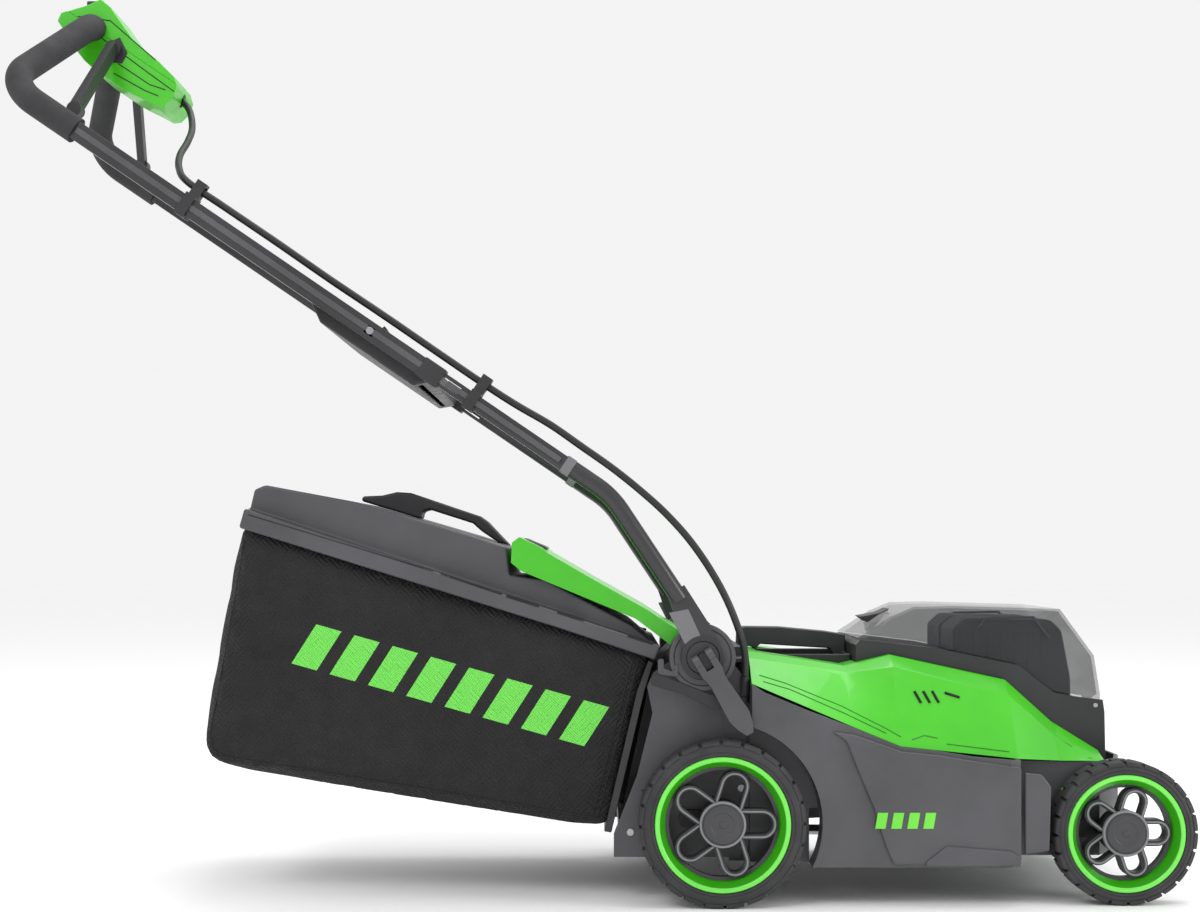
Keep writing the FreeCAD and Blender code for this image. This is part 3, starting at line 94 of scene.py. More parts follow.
def surface(name, slot, dark, light, gloss=(0.38, 0.5), grain=(1300.0, 0.25, 0.00025), blotch=7.0,
            stretch=(1.0, 1.0, 1.0), metallic=0.0, coat=0.0):
    """A finish with shade variation, uneven gloss and a fine grain, all fixed to the piece."""
    made = bpy.data.materials.new(name)
    made.use_nodes = True
    made["slot"] = slot
    made.diffuse_color = light
    tree = made.node_tree
    shader = tree.nodes["Principled BSDF"]
    coords = wire(tree, "ShaderNodeTexCoord").outputs["Object"]
    pulled = wire(tree, "ShaderNodeMapping", Vector=coords, Scale=stretch).outputs["Vector"]
    clouds = wire(tree, "ShaderNodeTexNoise", Vector=pulled, Scale=blotch, Detail=5.0, Roughness=0.6)
    shades = wire(tree, "ShaderNodeValToRGB", Fac=clouds.outputs["Fac"])
    shades.color_ramp.elements[0].position = 0.32
    shades.color_ramp.elements[0].color = dark
    shades.color_ramp.elements[1].position = 0.68
    shades.color_ramp.elements[1].color = light
    tree.links.new(shades.outputs["Color"], shader.inputs["Base Color"])
    wear = wire(tree, "ShaderNodeTexNoise", Vector=pulled, Scale=46.0, Detail=4.0)
    rough = wire(tree, "ShaderNodeMapRange", Value=wear.outputs["Fac"], To_Min=gloss[0], To_Max=gloss[1])
    rough.inputs["From Min"].default_value = 0.3
    rough.inputs["From Max"].default_value = 0.7
    tree.links.new(rough.outputs["Result"], shader.inputs["Roughness"])
    size, strength, depth = grain
    pores = wire(tree, "ShaderNodeTexNoise", Vector=pulled, Scale=size, Detail=2.0)
    bump = wire(tree, "ShaderNodeBump", Height=pores.outputs["Fac"], Strength=strength, Distance=depth)
    tree.links.new(bump.outputs["Normal"], shader.inputs["Normal"])
    shader.inputs["Metallic"].default_value = metallic
    shader.inputs["Coat Weight"].default_value = coat
    return made


def add_piece(name, shell, material, body, *nodes, crease=32.0):
    """Makes a piece of a bmesh, shades it, and fixes it to its body in place of CAD nodes."""
    mesh = bpy.data.meshes.new(name)
    shell.to_mesh(mesh)
    shell.free()
    piece = bpy.data.objects.new(name, mesh)
    bpy.context.scene.collection.objects.link(piece)
    mesh.materials.append(material)
    mesh.polygons.foreach_set("use_smooth", [True] * len(mesh.polygons))
    mesh.set_sharp_from_angle(angle=math.radians(crease))
    if body:
        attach(piece, body)
    if nodes:
        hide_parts(*nodes)
    return piece


def soften(piece, width, segments=3, angle=32.0):
    """Rounds every edge sharper than the angle, as a mould or a bending tool leaves it."""
    bevel = piece.modifiers.new("rounding", "BEVEL")
    bevel.width = width / 1000.0
    bevel.segments = segments
    bevel.limit_method = "ANGLE"
    bevel.angle_limit = math.radians(angle)
    bevel.harden_normals = True
    bevel.miter_outer = "MITER_ARC"
    return piece


def rounded(node, width, material, segments=3, angle=32.0):
    """A CAD part with its facets joined and its edges rounded."""
    source = frame["nodes"][node]
    shell = bmesh.new()
    shell.from_mesh(source.data)
    bmesh.ops.remove_doubles(shell, verts=shell.verts, dist=2e-6)
    bmesh.ops.dissolve_limit(shell, angle_limit=math.radians(0.6), verts=shell.verts, edges=shell.edges)
    piece = add_piece(node + "_finished", shell, material, source["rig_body"], node)
    return soften(piece, width, segments, angle)


def slab(points, y_from, y_to):
    """A closed block between two y values whose outline lies in XZ, all in millimetres."""
    shell = bmesh.new()
    outline = [shell.verts.new((x / 1000.0, y_from / 1000.0, z / 1000.0)) for x, z in points]
    grown = bmesh.ops.extrude_face_region(shell, geom=[shell.faces.new(outline)])
    moved = [part for part in grown["geom"] if isinstance(part, bmesh.types.BMVert)]
    bmesh.ops.translate(shell, verts=moved, vec=(0.0, (y_to - y_from) / 1000.0, 0.0))
    bmesh.ops.recalc_face_normals(shell, faces=shell.faces)
    return shell


def join(*shells):
    """Gathers several bmesh blocks into the first one."""
    whole = shells[0]
    for shell in shells[1:]:
        spare = bpy.data.meshes.new("spare")
        shell.to_mesh(spare)
        shell.free()
        whole.from_mesh(spare)
        bpy.data.meshes.remove(spare)
    return whole


def both(points, y_from, y_to):
    """The same block on the right and on the left of the mower."""
    return join(slab(points, -y_from, -y_to), slab(points, y_from, y_to))


deck_plastic = surface("deck_plastic", "housing_grey", paint(62, 62, 65), paint(78, 78, 82),
                       grain=(1500.0, 0.35, 0.0003))
dark_plastic = surface("dark_plastic", "housing_dark", paint(30, 30, 32), paint(42, 42, 45),
                       gloss=(0.4, 0.55))
seam_black = surface("seam_black", "housing_dark", paint(8, 8, 9), paint(14, 14, 15), gloss=(0.6, 0.8))
rounded("deck_housing", 1.0, deck_plastic, 2)
rounded("deck_skirts", 3.0, deck_plastic)
rounded("deck_nose", 3.0, deck_plastic)
# the bulge ahead of the wheel arch, and the flap moulded along the bottom edge
bulge = [(247.0, 187.0), (262.0, 176.0), (272.0, 150.0), (290.0, 107.0), (303.0, 66.0), (312.0, 45.0),
         (418.0, 45.0), (448.0, 48.0), (448.0, 149.0), (397.0, 156.0), (360.0, 162.0), (321.0, 166.0),
         (270.0, 184.0)]
flank = both(bulge, 180.0, 189.5)
soften(add_piece("deck_bulge", flank, deck_plastic, "deck"), 3.0, 4)
flap = [(345.0, 48.0), (368.0, 66.0), (436.0, 61.0), (446.0, 54.0), (447.0, 46.0), (420.0, 44.0),
        (346.0, 44.0)]
soften(add_piece("deck_flap", both(flap, 186.0, 192.0), deck_plastic, "deck"), 2.4, 4)
mark_green = surface("mark_green", "rim_green", paint(100, 205, 50), paint(112, 218, 62), gloss=(0.4, 0.5))
marks = join(*[both([(292.0 + 17.0 * n, 84.0), (303.0 + 17.0 * n, 84.0), (306.0 + 17.0 * n, 101.0),
                     (295.0 + 17.0 * n, 101.0)], 189.0, 189.9) for n in range(4)])
soften(add_piece("skirt_marks", marks, mark_green, "deck"), 0.3, 2)
nose_band = [(452.0, 143.0), (470.0, 141.0), (480.0, 128.0), (478.0, 60.0), (452.0, 56.0)]
soften(add_piece("deck_nose_panels", both(nose_band, 181.0, 187.5), deck_plastic, "deck"), 2.0, 3)


# ---- Rear frame plates --------------------------------------------------------------------
# Two thick moulded side plates carry the handle pivots, the flap pin and the bag hooks. Their seams
# against the deck show as dark grooves, and a dark band under each pivot ear is painted shade cast by the
# ledge above it.

def turned(profile, x, z, steps=96):
    """A closed profile of (radius, y) points in millimetres, spun round the Y line through x, z."""
    shell = bmesh.new()
    ring = [shell.verts.new(((x + radius) / 1000.0, y / 1000.0, z / 1000.0)) for radius, y in profile]
    loop = [shell.edges.new((ring[i - 1], ring[i])) for i in range(len(ring))]
    bmesh.ops.spin(shell, geom=ring + loop, cent=(x / 1000.0, 0.0, z / 1000.0), axis=(0.0, 1.0, 0.0),
                   angle=2.0 * math.pi, steps=steps, use_merge=True, use_duplicate=False)
    bmesh.ops.remove_doubles(shell, verts=shell.verts, dist=1e-6)
    bmesh.ops.recalc_face_normals(shell, faces=shell.faces)
    return shell


for hand in ("left", "right"):
    rounded("rear_frame_" + hand, 2.2, deck_plastic)
# painted shade: a dark band under each pivot ear, where the ledge above casts its shadow
ear_shade_band = [(53.0, 241.5), (61.0, 247.5), (92.0, 236.0), (122.0, 224.0), (131.0, 216.0), (128.0, 208.0),
            (118.0, 211.0), (88.0, 226.0), (56.0, 235.0)]
soften(add_piece("ear_shade_bands", both(ear_shade_band, 170.0, 173.0), dark_plastic, "deck"), 0.8)
hook = [(62.0, 247.5), (62.0, 262.0), (66.0, 263.5), (68.5, 262.0), (68.5, 253.0), (77.0, 250.0),
        (80.5, 252.5), (80.5, 258.0), (84.0, 258.0), (84.0, 244.0), (66.0, 246.0)]
soften(add_piece("bag_hooks", both(hook, 163.0, 172.5), deck_plastic, "deck"), 0.8)
seams = join(both([(157.0, 158.0), (158.6, 158.0), (158.6, 192.0), (157.0, 192.0)], 170.5, 171.9),
             both([(44.0, 121.5), (56.0, 121.5), (56.0, 123.0), (44.0, 123.0)], 170.5, 171.9))
add_piece("frame_seams", seams, seam_black, "deck")
PIVOT_X, PIVOT_Z = 110.0, 265.0
for hand, side in (("right", -1.0), ("left", 1.0)):
    disc = turned([(30.0, side * 171.0), (31.2, side * 171.0), (31.2, side * 171.9), (30.0, side * 171.9)],
                  PIVOT_X, PIVOT_Z)
    washer = turned([(17.0, side * 179.6), (24.0, side * 179.6), (24.0, side * 180.6), (23.0, side * 181.6),
                     (18.0, side * 181.6), (17.0, side * 180.6)], PIVOT_X, PIVOT_Z)
    add_piece("ear_grooves_" + hand, disc, seam_black, "deck")
    soften(add_piece("pivot_washer_" + hand, washer, dark_plastic, "deck"), 0.4, 2)


# ---- Top cover ----------------------------------------------------------------------------
# The bright body cover is a gloss moulding clipped over the deck, creased along the shoulder and
# drawn down to a point above each front wheel, with a double groove along its lower edge.

cover_green = surface("cover_green", "cover_green", paint(56, 176, 6), paint(66, 190, 12), gloss=(0.3, 0.42),
                      grain=(900.0, 0.12, 0.0002), coat=0.25)
rounded("top_cover", 3.5, cover_green, 4, 12.0)


def skin_of(*nodes):
    """Search tree over the outer faces of some fixed parts, for laying lines on them."""
    shell = bmesh.new()
    for node in nodes:
        shell.from_mesh(frame["nodes"][node].data)
    tree = BVHTree.FromBMesh(shell)
    shell.free()
    return tree


def laid_lines(name, skin, lines, wide, material, body, reach=0.4, sides=(-1.0, 1.0)):
    """Thin cords laid on the outside of a part along XZ lines in millimetres, on each side."""
    curve = bpy.data.curves.new(name, "CURVE")
    curve.dimensions = "3D"
    curve.bevel_depth = wide / 2000.0
    curve.bevel_resolution = 2
    curve.use_fill_caps = True
    for side in sides:
        for line in lines:
            spots = []
            for (x0, z0), (x1, z1) in zip(line, line[1:]):
                count = max(2, int(math.hypot(x1 - x0, z1 - z0) / 4.0))
                for step in range(count + 1):
                    share = step / count
                    x, z = x0 + (x1 - x0) * share, z0 + (z1 - z0) * share
                    outside = Vector((x / 1000.0, side * reach, z / 1000.0))
                    hit = skin.ray_cast(outside, Vector((0.0, -side, 0.0)))[0]
                    if hit and (not spots or (hit - spots[-1]).length > 0.0005):
                        spots.append(hit)
            if len(spots) < 2:
                continue
            strand = curve.splines.new("POLY")
            strand.points.add(len(spots) - 1)
            for point, spot in zip(strand.points, spots):
                point.co = (*spot, 1.0)
    drawn = bpy.data.objects.new(name, curve)
    bpy.context.scene.collection.objects.link(drawn)
    shaped = bpy.data.meshes.new_from_object(drawn.evaluated_get(bpy.context.evaluated_depsgraph_get()))
    bpy.data.objects.remove(drawn)
    shell = bmesh.new()
    shell.from_mesh(shaped)
    bpy.data.meshes.remove(shaped)
    return add_piece(name, shell, material, body)


cover_skin = skin_of("top_cover")
# the double grooves are laid as darker green cords: painted shade in the grooves
groove_shade_green = surface("groove_shade_green", "cover_green", paint(34, 122, 8), paint(42, 136, 12), gloss=(0.4, 0.5))
laid_lines("cover_grooves", cover_skin, [
    [(172.6, 244.3), (200.0, 236.0), (260.0, 212.0), (304.0, 190.0), (322.0, 180.0)],
    [(176.0, 238.0), (205.0, 229.5), (264.0, 204.0), (306.0, 184.0)],
    [(334.0, 177.0), (348.0, 181.0), (362.0, 178.0)],
    [(372.0, 172.0), (440.0, 163.0)]], 1.3, groove_shade_green, "deck")
laid_lines("cover_marks", cover_skin, [
    [(342.0, 226.0), (348.0, 214.0)], [(352.0, 226.0), (358.0, 214.0)], [(362.0, 226.0), (368.0, 214.0)],
    [(376.0, 224.0), (392.0, 219.0)]], 3.4, seam_black, "deck")
green_arch = [(499.0, 118.0), (512.0, 129.0), (540.0, 137.0), (568.0, 137.0), (585.0, 132.0), (585.0, 128.5),
              (560.0, 128.0), (535.0, 123.0), (510.0, 112.0)]
soften(add_piece("front_fenders", both(green_arch, 138.0, 151.0), cover_green, "deck"), 2.0, 3)


# ---- Clear battery lid, packs and housing -------------------------------------------------
# The dark housing holds two battery packs side by side under a hinged lid of smoked clear
# polycarbonate, with a latch tab at its rear edge and a shallow moulded grip panel on each side.

rounded("battery_housing", 2.5, dark_plastic)
pack_black = surface("pack_black", "housing_dark", paint(26, 26, 28), paint(38, 38, 41), gloss=(0.32, 0.5))
rounded("battery_packs", 4.0, pack_black, 4)
smoke = surface("smoke_clear", "smoke_clear", paint(52, 53, 56), paint(62, 63, 66), gloss=(0.04, 0.1),
                grain=(30.0, 0.02, 0.0002))
smoke.node_tree.nodes["Principled BSDF"].inputs["Alpha"].default_value = 0.36
rounded("battery_lid", 2.0, smoke, 3)
rounded("lid_latch", 1.0, dark_plastic)
grip_edge = [(420.3, 292.7), (429.2, 305.0), (485.1, 306.1), (504.1, 281.5), (500.2, 281.5), (483.2, 303.4),
             (430.8, 302.6), (424.0, 292.9)]
soften(add_piece("lid_grips", both(grip_edge, 87.4, 88.8), dark_plastic, "battery_lid"), 0.4, 2)
pack_ribs = join(*[both([(404.0 + 15.0 * n, 240.0), (411.0 + 15.0 * n, 240.0), (411.0 + 15.0 * n, 288.0),
                         (404.0 + 15.0 * n, 288.0)], 81.0, 83.4) for n in range(7)])
soften(add_piece("pack_ribs", pack_ribs, pack_black, "deck"), 0.8, 2)


# ---- Remaining fixed parts on the deck ----------------------------------------------------
# The carry handle, the discharge duct, the motor and the pins and screws: mouldings, turned pins
# and a steel motor can, most of them seen only from below or behind.

rounded("carry_handle", 3.0, dark_plastic, 4)
rounded("discharge_chute", 1.2, dark_plastic, 2)
steel = surface("bright_steel", "steel", paint(150, 152, 156), paint(178, 180, 184), gloss=(0.24, 0.38),
                grain=(420.0, 0.2, 0.0001), stretch=(1.0, 8.0, 1.0), metallic=1.0)
black_steel = surface("black_steel", "steel", paint(40, 40, 42), paint(54, 54, 56), gloss=(0.35, 0.5),
                      metallic=0.6)
rounded("blade_motor", 1.5, black_steel)
rounded("fasteners", 0.3, steel, 2)
rounded("cord_gland", 0.8, dark_plastic, 2)


# ---- Wheels -------------------------------------------------------------------------------
# Blow-moulded plastic wheels: a black tyre with two staggered rows of lugs, a bright ring snapped
# into it, and a grey hub with five U-shaped petals, a raised lip on each petal and a stepped cap.

def lug_row(shell, profile, x, z, count, wide, first):
    """Tread blocks: short spins of one closed profile, capped at both ends."""
    for number in range(count):
        ring = [shell.verts.new(((x + radius) / 1000.0, y / 1000.0, z / 1000.0)) for radius, y in profile]
        loop = [shell.edges.new((ring[i - 1], ring[i])) for i in range(len(ring))]
        centre = (x / 1000.0, 0.0, z / 1000.0)
        grown = bmesh.ops.spin(shell, geom=ring + loop, cent=centre, axis=(0.0, 1.0, 0.0), angle=wide,
                               steps=3, use_duplicate=False)
        ends = loop + [part for part in grown["geom_last"] if isinstance(part, bmesh.types.BMEdge)]
        bmesh.ops.holes_fill(shell, edges=ends, sides=0)
        island, edge_of = set(ring), list(ring)
        while edge_of:
            for edge in edge_of.pop().link_edges:
                for vert in edge.verts:
                    if vert not in island:
                        island.add(vert)
                        edge_of.append(vert)
        turn = Matrix.Rotation(first + number * 2.0 * math.pi / count, 3, "Y")
        bmesh.ops.rotate(shell, cent=centre, matrix=turn, verts=list(island))


PETAL_FOOT = 20.5


def petal_strip(axle, tip, outer, inner, angle, y_from, y_to):
    """One U-shaped rib pointing away from the axle, between two half-widths."""
    arch = tip - outer
    points = [(PETAL_FOOT, -outer)]
    points += [(arch + outer * math.cos(math.radians(a)), outer * math.sin(math.radians(a)))
               for a in range(-90, 91, 15)]
    points += [(PETAL_FOOT, outer), (PETAL_FOOT, inner)]
    points += [(arch + inner * math.cos(math.radians(a)), inner * math.sin(math.radians(a)))
               for a in range(90, -91, -15)]
    points += [(PETAL_FOOT, -inner)]
    swing = math.radians(angle)
    placed = [(axle[0] + along * math.cos(swing) - across * math.sin(swing),
               axle[1] + along * math.sin(swing) + across * math.cos(swing)) for along, across in points]
    return slab(placed, y_from, y_to)


tyre_rubber = surface("tyre_rubber", "tyre", paint(38, 38, 40), paint(52, 52, 54), gloss=(0.62, 0.8),
                      grain=(700.0, 0.4, 0.0004), blotch=24.0)
ring_bright = surface("ring_bright", "rim_green", paint(98, 210, 66), paint(110, 222, 78), gloss=(0.25, 0.35),
                      grain=(700.0, 0.08, 0.0002), coat=0.3)
ring_deep = surface("ring_deep", "rim_green", paint(42, 146, 4), paint(50, 158, 8), gloss=(0.32, 0.45),
                    grain=(700.0, 0.08, 0.0002))
hub_plastic = surface("hub_plastic", "hub_grey", paint(48, 48, 50), paint(60, 60, 63), gloss=(0.4, 0.52))
# a lighter grey for the petal lips and the hub collar: a painted highlight along their edges
edge_highlight_grey = surface("edge_highlight_grey", "hub_grey", paint(112, 112, 115), paint(126, 126, 129), gloss=(0.4, 0.5))
LUGS = 24
PETALS = 5
WHEELS = (("rear_wheel", 130.0, 89.0, 42.0, 200.0, 72.2), ("front_wheel", 562.0, 77.0, 40.0, 182.0, 63.1))
for kind, axle_x, radius, width, track, rim in WHEELS:
    for hand, side in (("left", 1.0), ("right", -1.0)):
        body = kind + "_" + hand
        bed = radius - 2.5

        def at(points):
            return [(reach, side * (track - inward)) for reach, inward in points]

        carcass = turned(at([
            (rim, 3.5), (rim + 0.8, 1.0), (rim + 3.0, 0.5), (rim + 4.2, 1.5), (rim + 5.2, 0.5),
            (bed - 4.0, 0.9), (bed - 1.0, 3.0), (bed, 6.0), (bed, width - 6.0), (bed - 1.0, width - 3.0),
            (bed - 4.0, width - 0.9), (rim + 4.0, width - 0.5), (rim, width - 3.0)]), axle_x, radius)
        step = 2.0 * math.pi / LUGS
        outer_lug = at([(bed - 2.5, 1.0), (radius - 1.4, 2.0), (radius, 4.2), (radius, width * 0.5 - 1.2),
                        (bed - 2.5, width * 0.5 - 0.6)])
        inner_lug = at([(bed - 2.5, width * 0.5 + 0.6), (radius, width * 0.5 + 1.2), (radius, width - 4.2),
                        (radius - 1.4, width - 2.0), (bed - 2.5, width - 1.0)])
        lug_row(carcass, outer_lug, axle_x, radius, LUGS, step * 0.84, 0.0)
        lug_row(carcass, inner_lug, axle_x, radius, LUGS, step * 0.84, step * 0.5)
        bmesh.ops.recalc_face_normals(carcass, faces=carcass.faces)
        soften(add_piece(body + "_tread", carcass, tyre_rubber, body, body + "_tyre"), 0.5, 2, 40.0)
        bore = rim - 11.4
        ring = turned(at([
            (bore, width - 6.0), (bore, 12.0), (bore + 0.8, 9.6), (rim - 6.0, 2.6), (rim - 5.4, 1.3),
            (rim - 4.6, 0.7), (rim - 0.9, 0.7), (rim - 0.2, 1.5), (rim, 3.0), (rim, width - 3.0),
            (rim - 4.0, width - 3.0)]), axle_x, radius)
        band = add_piece(body + "_ring", ring, ring_bright, body, body + "_rim")
        band.data.materials.append(ring_deep)
        for face in band.data.polygons:
            off = math.hypot(face.center.x - axle_x / 1000.0, face.center.z - radius / 1000.0)
            face.material_index = 1 if off < (rim - 5.7) / 1000.0 else 0
        rounded(body + "_hub", 0.6, hub_plastic, 2)
        tip = bore - 4.0
        half = 14.5 * rim / 72.2
        axle = (axle_x, radius)
        lips, ribs = [], []
        for number in range(PETALS):
            angle = 360.0 / PETALS * number
            lips.append(petal_strip(axle, tip, half, half - 1.9, angle, side * (track - 7.4),
                                    side * (track - 9.0)))
            ribs.append(petal_strip(axle, tip + 1.8, half + 1.8, half - 3.6, angle, side * (track - 9.6),
                                    side * (track - 26.0)))
        soften(add_piece(body + "_petal_lips", join(*lips), edge_highlight_grey, body), 0.35, 2)
        soften(add_piece(body + "_petal_ribs", join(*ribs), hub_plastic, body), 1.2, 3, 50.0)
        collar = turned(at([(22.0, 4.2), (22.6, 3.4), (24.2, 3.4), (24.8, 4.4), (24.8, 8.0), (22.0, 8.0)]),
                        axle_x, radius)
        soften(add_piece(body + "_hub_collar", collar, edge_highlight_grey, body), 0.3, 2)


# ---- Axles, height lever and blade --------------------------------------------------------
# Cranked steel axles turn in the deck and are joined by a flat rod; a lever with a rubber knob sets
# them. Under the deck a flat steel blade is bolted to the motor through a moulded adaptor.

for node in ("rear_axle", "front_axle", "link_rod"):
    rounded(node, 0.8, black_steel, 2)
rounded("height_lever", 1.5, dark_plastic)
rounded("blade", 0.5, steel, 2)
rounded("blade_adaptor", 1.0, dark_plastic)
rounded("blade_bolt", 0.6, steel, 2)


# ---- Handle: lower tubes, pivots and clamps -----------------------------------------------
# Each lower tube is a painted steel tube with a groove along it, bent at the knee and pressed flat
# into an eye plate at the pivot, where a cam lever clamps it to the deck on a cross bolt.

tube_black = surface("tube_black", "tube_black", paint(34, 34, 36), paint(46, 46, 49), gloss=(0.3, 0.4),
                     grain=(500.0, 0.1, 0.0002), coat=0.15)
plate_grey = surface("plate_grey", "plate_grey", paint(98, 98, 101), paint(112, 112, 115), gloss=(0.3, 0.42))
for hand in ("left", "right"):
    rounded("lower_tube_" + hand, 1.5, tube_black, 3)
    rounded("cam_lever_" + hand, 2.2, deck_plastic, 3)
rounded("pivot_bolts", 0.8, black_steel, 2)
eye_neck = [(73.5, 313.0), (94.0, 317.0), (108.5, 285.5), (90.5, 279.5)]
soften(add_piece("eye_plates", both(eye_neck, 179.2, 180.9), plate_grey, "lower_handle"), 0.6, 2)
RAIL_TILT = math.radians(34.3)


def rail(along, above):
    """Point in XZ from distances along the rail, up from the knee, and square to it."""
    return (12.0 - along * math.cos(RAIL_TILT) + above * math.sin(RAIL_TILT),
            438.0 + along * math.sin(RAIL_TILT) + above * math.cos(RAIL_TILT))


def rail_bar(low, high, under, over):
    """Outline of a straight strip along the rail."""
    return [rail(low, under), rail(high, under), rail(high, over), rail(low, over)]


# lighter strips along the rails: a painted highlight on the flat band down the middle of each tube
rail_highlight_grey = surface("rail_highlight_grey", "tube_black", paint(70, 70, 73), paint(84, 84, 88), gloss=(0.26, 0.36),
                      grain=(500.0, 0.1, 0.0002))
# the light grey inner collars stand where the rail's flat band ends: a painted reflection highlight there
collar = both(rail_bar(50.0, 61.0, -9.9, 9.9), 165.0, 185.2)
soften(add_piece("inner_collar_highlights", collar, plate_grey, "lower_handle"), 1.5, 2)
inner_line = both(rail_bar(66.0, 212.0, -2.6, 3.4), 183.2, 184.9)
soften(add_piece("lower_rail_highlights", inner_line, rail_highlight_grey, "lower_handle"), 0.6, 2)


# ---- Handle: upper tubes, loop, grips and fittings ----------------------------------------
# The outer tubes telescope over the lower ones and are joined by a moulded cross brace; a bent loop
# with foam grips carries the switch box, its lock button and the steel start bail.

for hand in ("left", "right"):
    rounded("outer_tube_" + hand, 1.8, tube_black, 3)
    rounded("lock_pin_" + hand, 0.4, steel, 2)
rounded("handle_loop", 0.8, tube_black, 2)
# painted highlight along the flat band of each outer tube
outer_line = both(rail_bar(224.0, 690.0, -2.6, 3.8), 184.2, 185.7)
soften(add_piece("upper_rail_highlights", outer_line, rail_highlight_grey, "upper_handle"), 0.6, 2)
sleeves = both(rail_bar(219.0, 246.0, -11.2, 11.2), 163.6, 186.2)
soften(add_piece("tube_sleeves", sleeves, dark_plastic, "upper_handle"), 1.6, 3)
foam = surface("foam_black", "foam", paint(44, 44, 46), paint(56, 56, 58), gloss=(0.75, 0.92),
               grain=(800.0, 0.7, 0.0006), blotch=30.0)
rounded("foam_grips", 1.5, foam, 3)
rounded("switch_box_lower", 2.5, cover_green, 3)
rounded("switch_box_upper", 2.5, cover_green, 3)
box_skin = skin_of("switch_box_upper", "switch_box_lower")
laid_lines("box_seams", box_skin, [
    [(-601.0, 974.0), (-571.0, 966.0), (-520.0, 928.0), (-487.0, 904.0)],
    [(-597.0, 990.0), (-560.0, 985.0), (-508.0, 940.0)],
    [(-556.0, 925.0), (-520.0, 905.0), (-505.0, 899.0)],
    [(-551.0, 936.0), (-515.0, 912.0), (-497.0, 906.0)]], 1.2, seam_black, "upper_handle")
window = [(-566.0, 958.0), (-549.0, 966.0), (-540.0, 948.0), (-546.0, 936.0), (-560.0, 937.0)]
soften(add_piece("box_windows", both(window, 41.0, 42.9), dark_plastic, "upper_handle"), 0.8, 3)
rounded("lock_off_button", 1.5, dark_plastic)
rounded("bail", 1.2, dark_plastic)
rounded("cross_brace", 2.0, dark_plastic)
rounded("cable_clips", 0.8, dark_plastic, 2)
rounded("lock_lever", 1.0, dark_plastic)


# ---- Control lead -------------------------------------------------------------------------
# A black two-core lead of 8 mm runs from the switch box down the right rail through two clips and
# over the pivot into the cover; it is made in three lengths split at the telescoping joint and at the handle
# pivot, and only the upper length rides on the handle.

lead_black = surface("lead_black", "cord", paint(20, 20, 21), paint(30, 30, 31), gloss=(0.42, 0.56),
                     grain=(900.0, 0.3, 0.0002))
LEAD_ROUTE = [
    (-487.5, 0.0, 904.5), (-475.5, -13.0, 888.0), (-466.5, -41.0, 862.0), (-463.0, -79.0, 838.0),
    (-463.5, -114.0, 815.0), (-457.0, -145.0, 794.0), (-442.0, -170.5, 774.6), (-401.0, -172.0, 746.4),
    (-347.0, -172.5, 709.8), (-289.5, -171.5, 670.0), (-231.7, -172.0, 631.2), (-176.0, -172.4, 592.9),
    (-124.0, -172.0, 557.4), (-90.0, -172.4, 535.5), (-53.0, -171.5, 514.0), (-20.0, -172.0, 491.0),
    (14.0, -172.5, 467.0), (44.2, -172.0, 442.8), (70.0, -171.0, 419.5), (95.0, -169.5, 392.0),
    (117.0, -168.0, 361.0), (135.0, -166.0, 329.0), (148.0, -162.0, 298.0), (156.0, -156.0, 271.0),
    (157.0, -153.7, 243.7)]
LEAD_RADIUS = 3.9
PER_SPAN = 8


def smooth_route(points):
    """Catmull-Rom points through the route, with the same number in every span."""
    held = [Vector(point) for point in points]
    held = [held[0] * 2.0 - held[1], *held, held[-1] * 2.0 - held[-2]]
    route = []
    for a, b, c, d in zip(held, held[1:], held[2:], held[3:]):
        for step in range(PER_SPAN):
            t = step / PER_SPAN
            route.append(0.5 * ((2.0 * b) + (c - a) * t + (2.0 * a - 5.0 * b + 4.0 * c - d) * t ** 2
                                + (3.0 * b - a - 3.0 * c + d) * t ** 3))
    return route + [held[-2]]


def lead_length(route, first, last):
    """A round run of the lead between two points of the route: one ring drawn along it."""
    shell = bmesh.new()
    made = bmesh.ops.create_circle(shell, cap_ends=True, segments=16, radius=LEAD_RADIUS)
    before = Matrix.Identity(4)
    moving = made["verts"]
    end = shell.faces[:]
    across = Vector((0.0, 1.0, 0.0))
    for spot in range(first, last + 1):
        along = (route[min(spot + 1, len(route) - 1)] - route[max(spot - 1, 0)]).normalized()
        across = (across - along * across.dot(along)).normalized()
        place = Matrix((across, along.cross(across), along)).transposed().to_4x4()
        place.translation = route[spot]
        if spot > first:
            grown = bmesh.ops.extrude_face_region(shell, geom=end, use_keep_orig=spot == first + 1)
            moving = [part for part in grown["geom"] if isinstance(part, bmesh.types.BMVert)]
            end = [part for part in grown["geom"] if isinstance(part, bmesh.types.BMFace)]
        bmesh.ops.transform(shell, matrix=place @ before.inverted(), verts=moving)
        before = place
    bmesh.ops.scale(shell, vec=(0.001, 0.001, 0.001), verts=shell.verts)
    bmesh.ops.recalc_face_normals(shell, faces=shell.faces)
    return shell


lead_points = smooth_route(LEAD_ROUTE)
BREAKS = [0, 12 * PER_SPAN, 17 * PER_SPAN, 24 * PER_SPAN]
add_piece("lead_upper", lead_length(lead_points, BREAKS[0], BREAKS[1]), lead_black, "upper_handle",
          "cord_upper")
lead_middle = add_piece("lead_middle", lead_length(lead_points, BREAKS[1], BREAKS[2]), lead_black, None,
                        "cord_middle")
lead_lower = add_piece("lead_lower", lead_length(lead_points, BREAKS[2], BREAKS[3]), lead_black, None,
                       "cord_lower")
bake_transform(lead_middle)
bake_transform(lead_lower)


# ---- Rear flap ----------------------------------------------------------------------------
# A sprung cover over the discharge mouth, moulded in the same bright plastic as the top cover, with
# a raised finger lip at its free end.

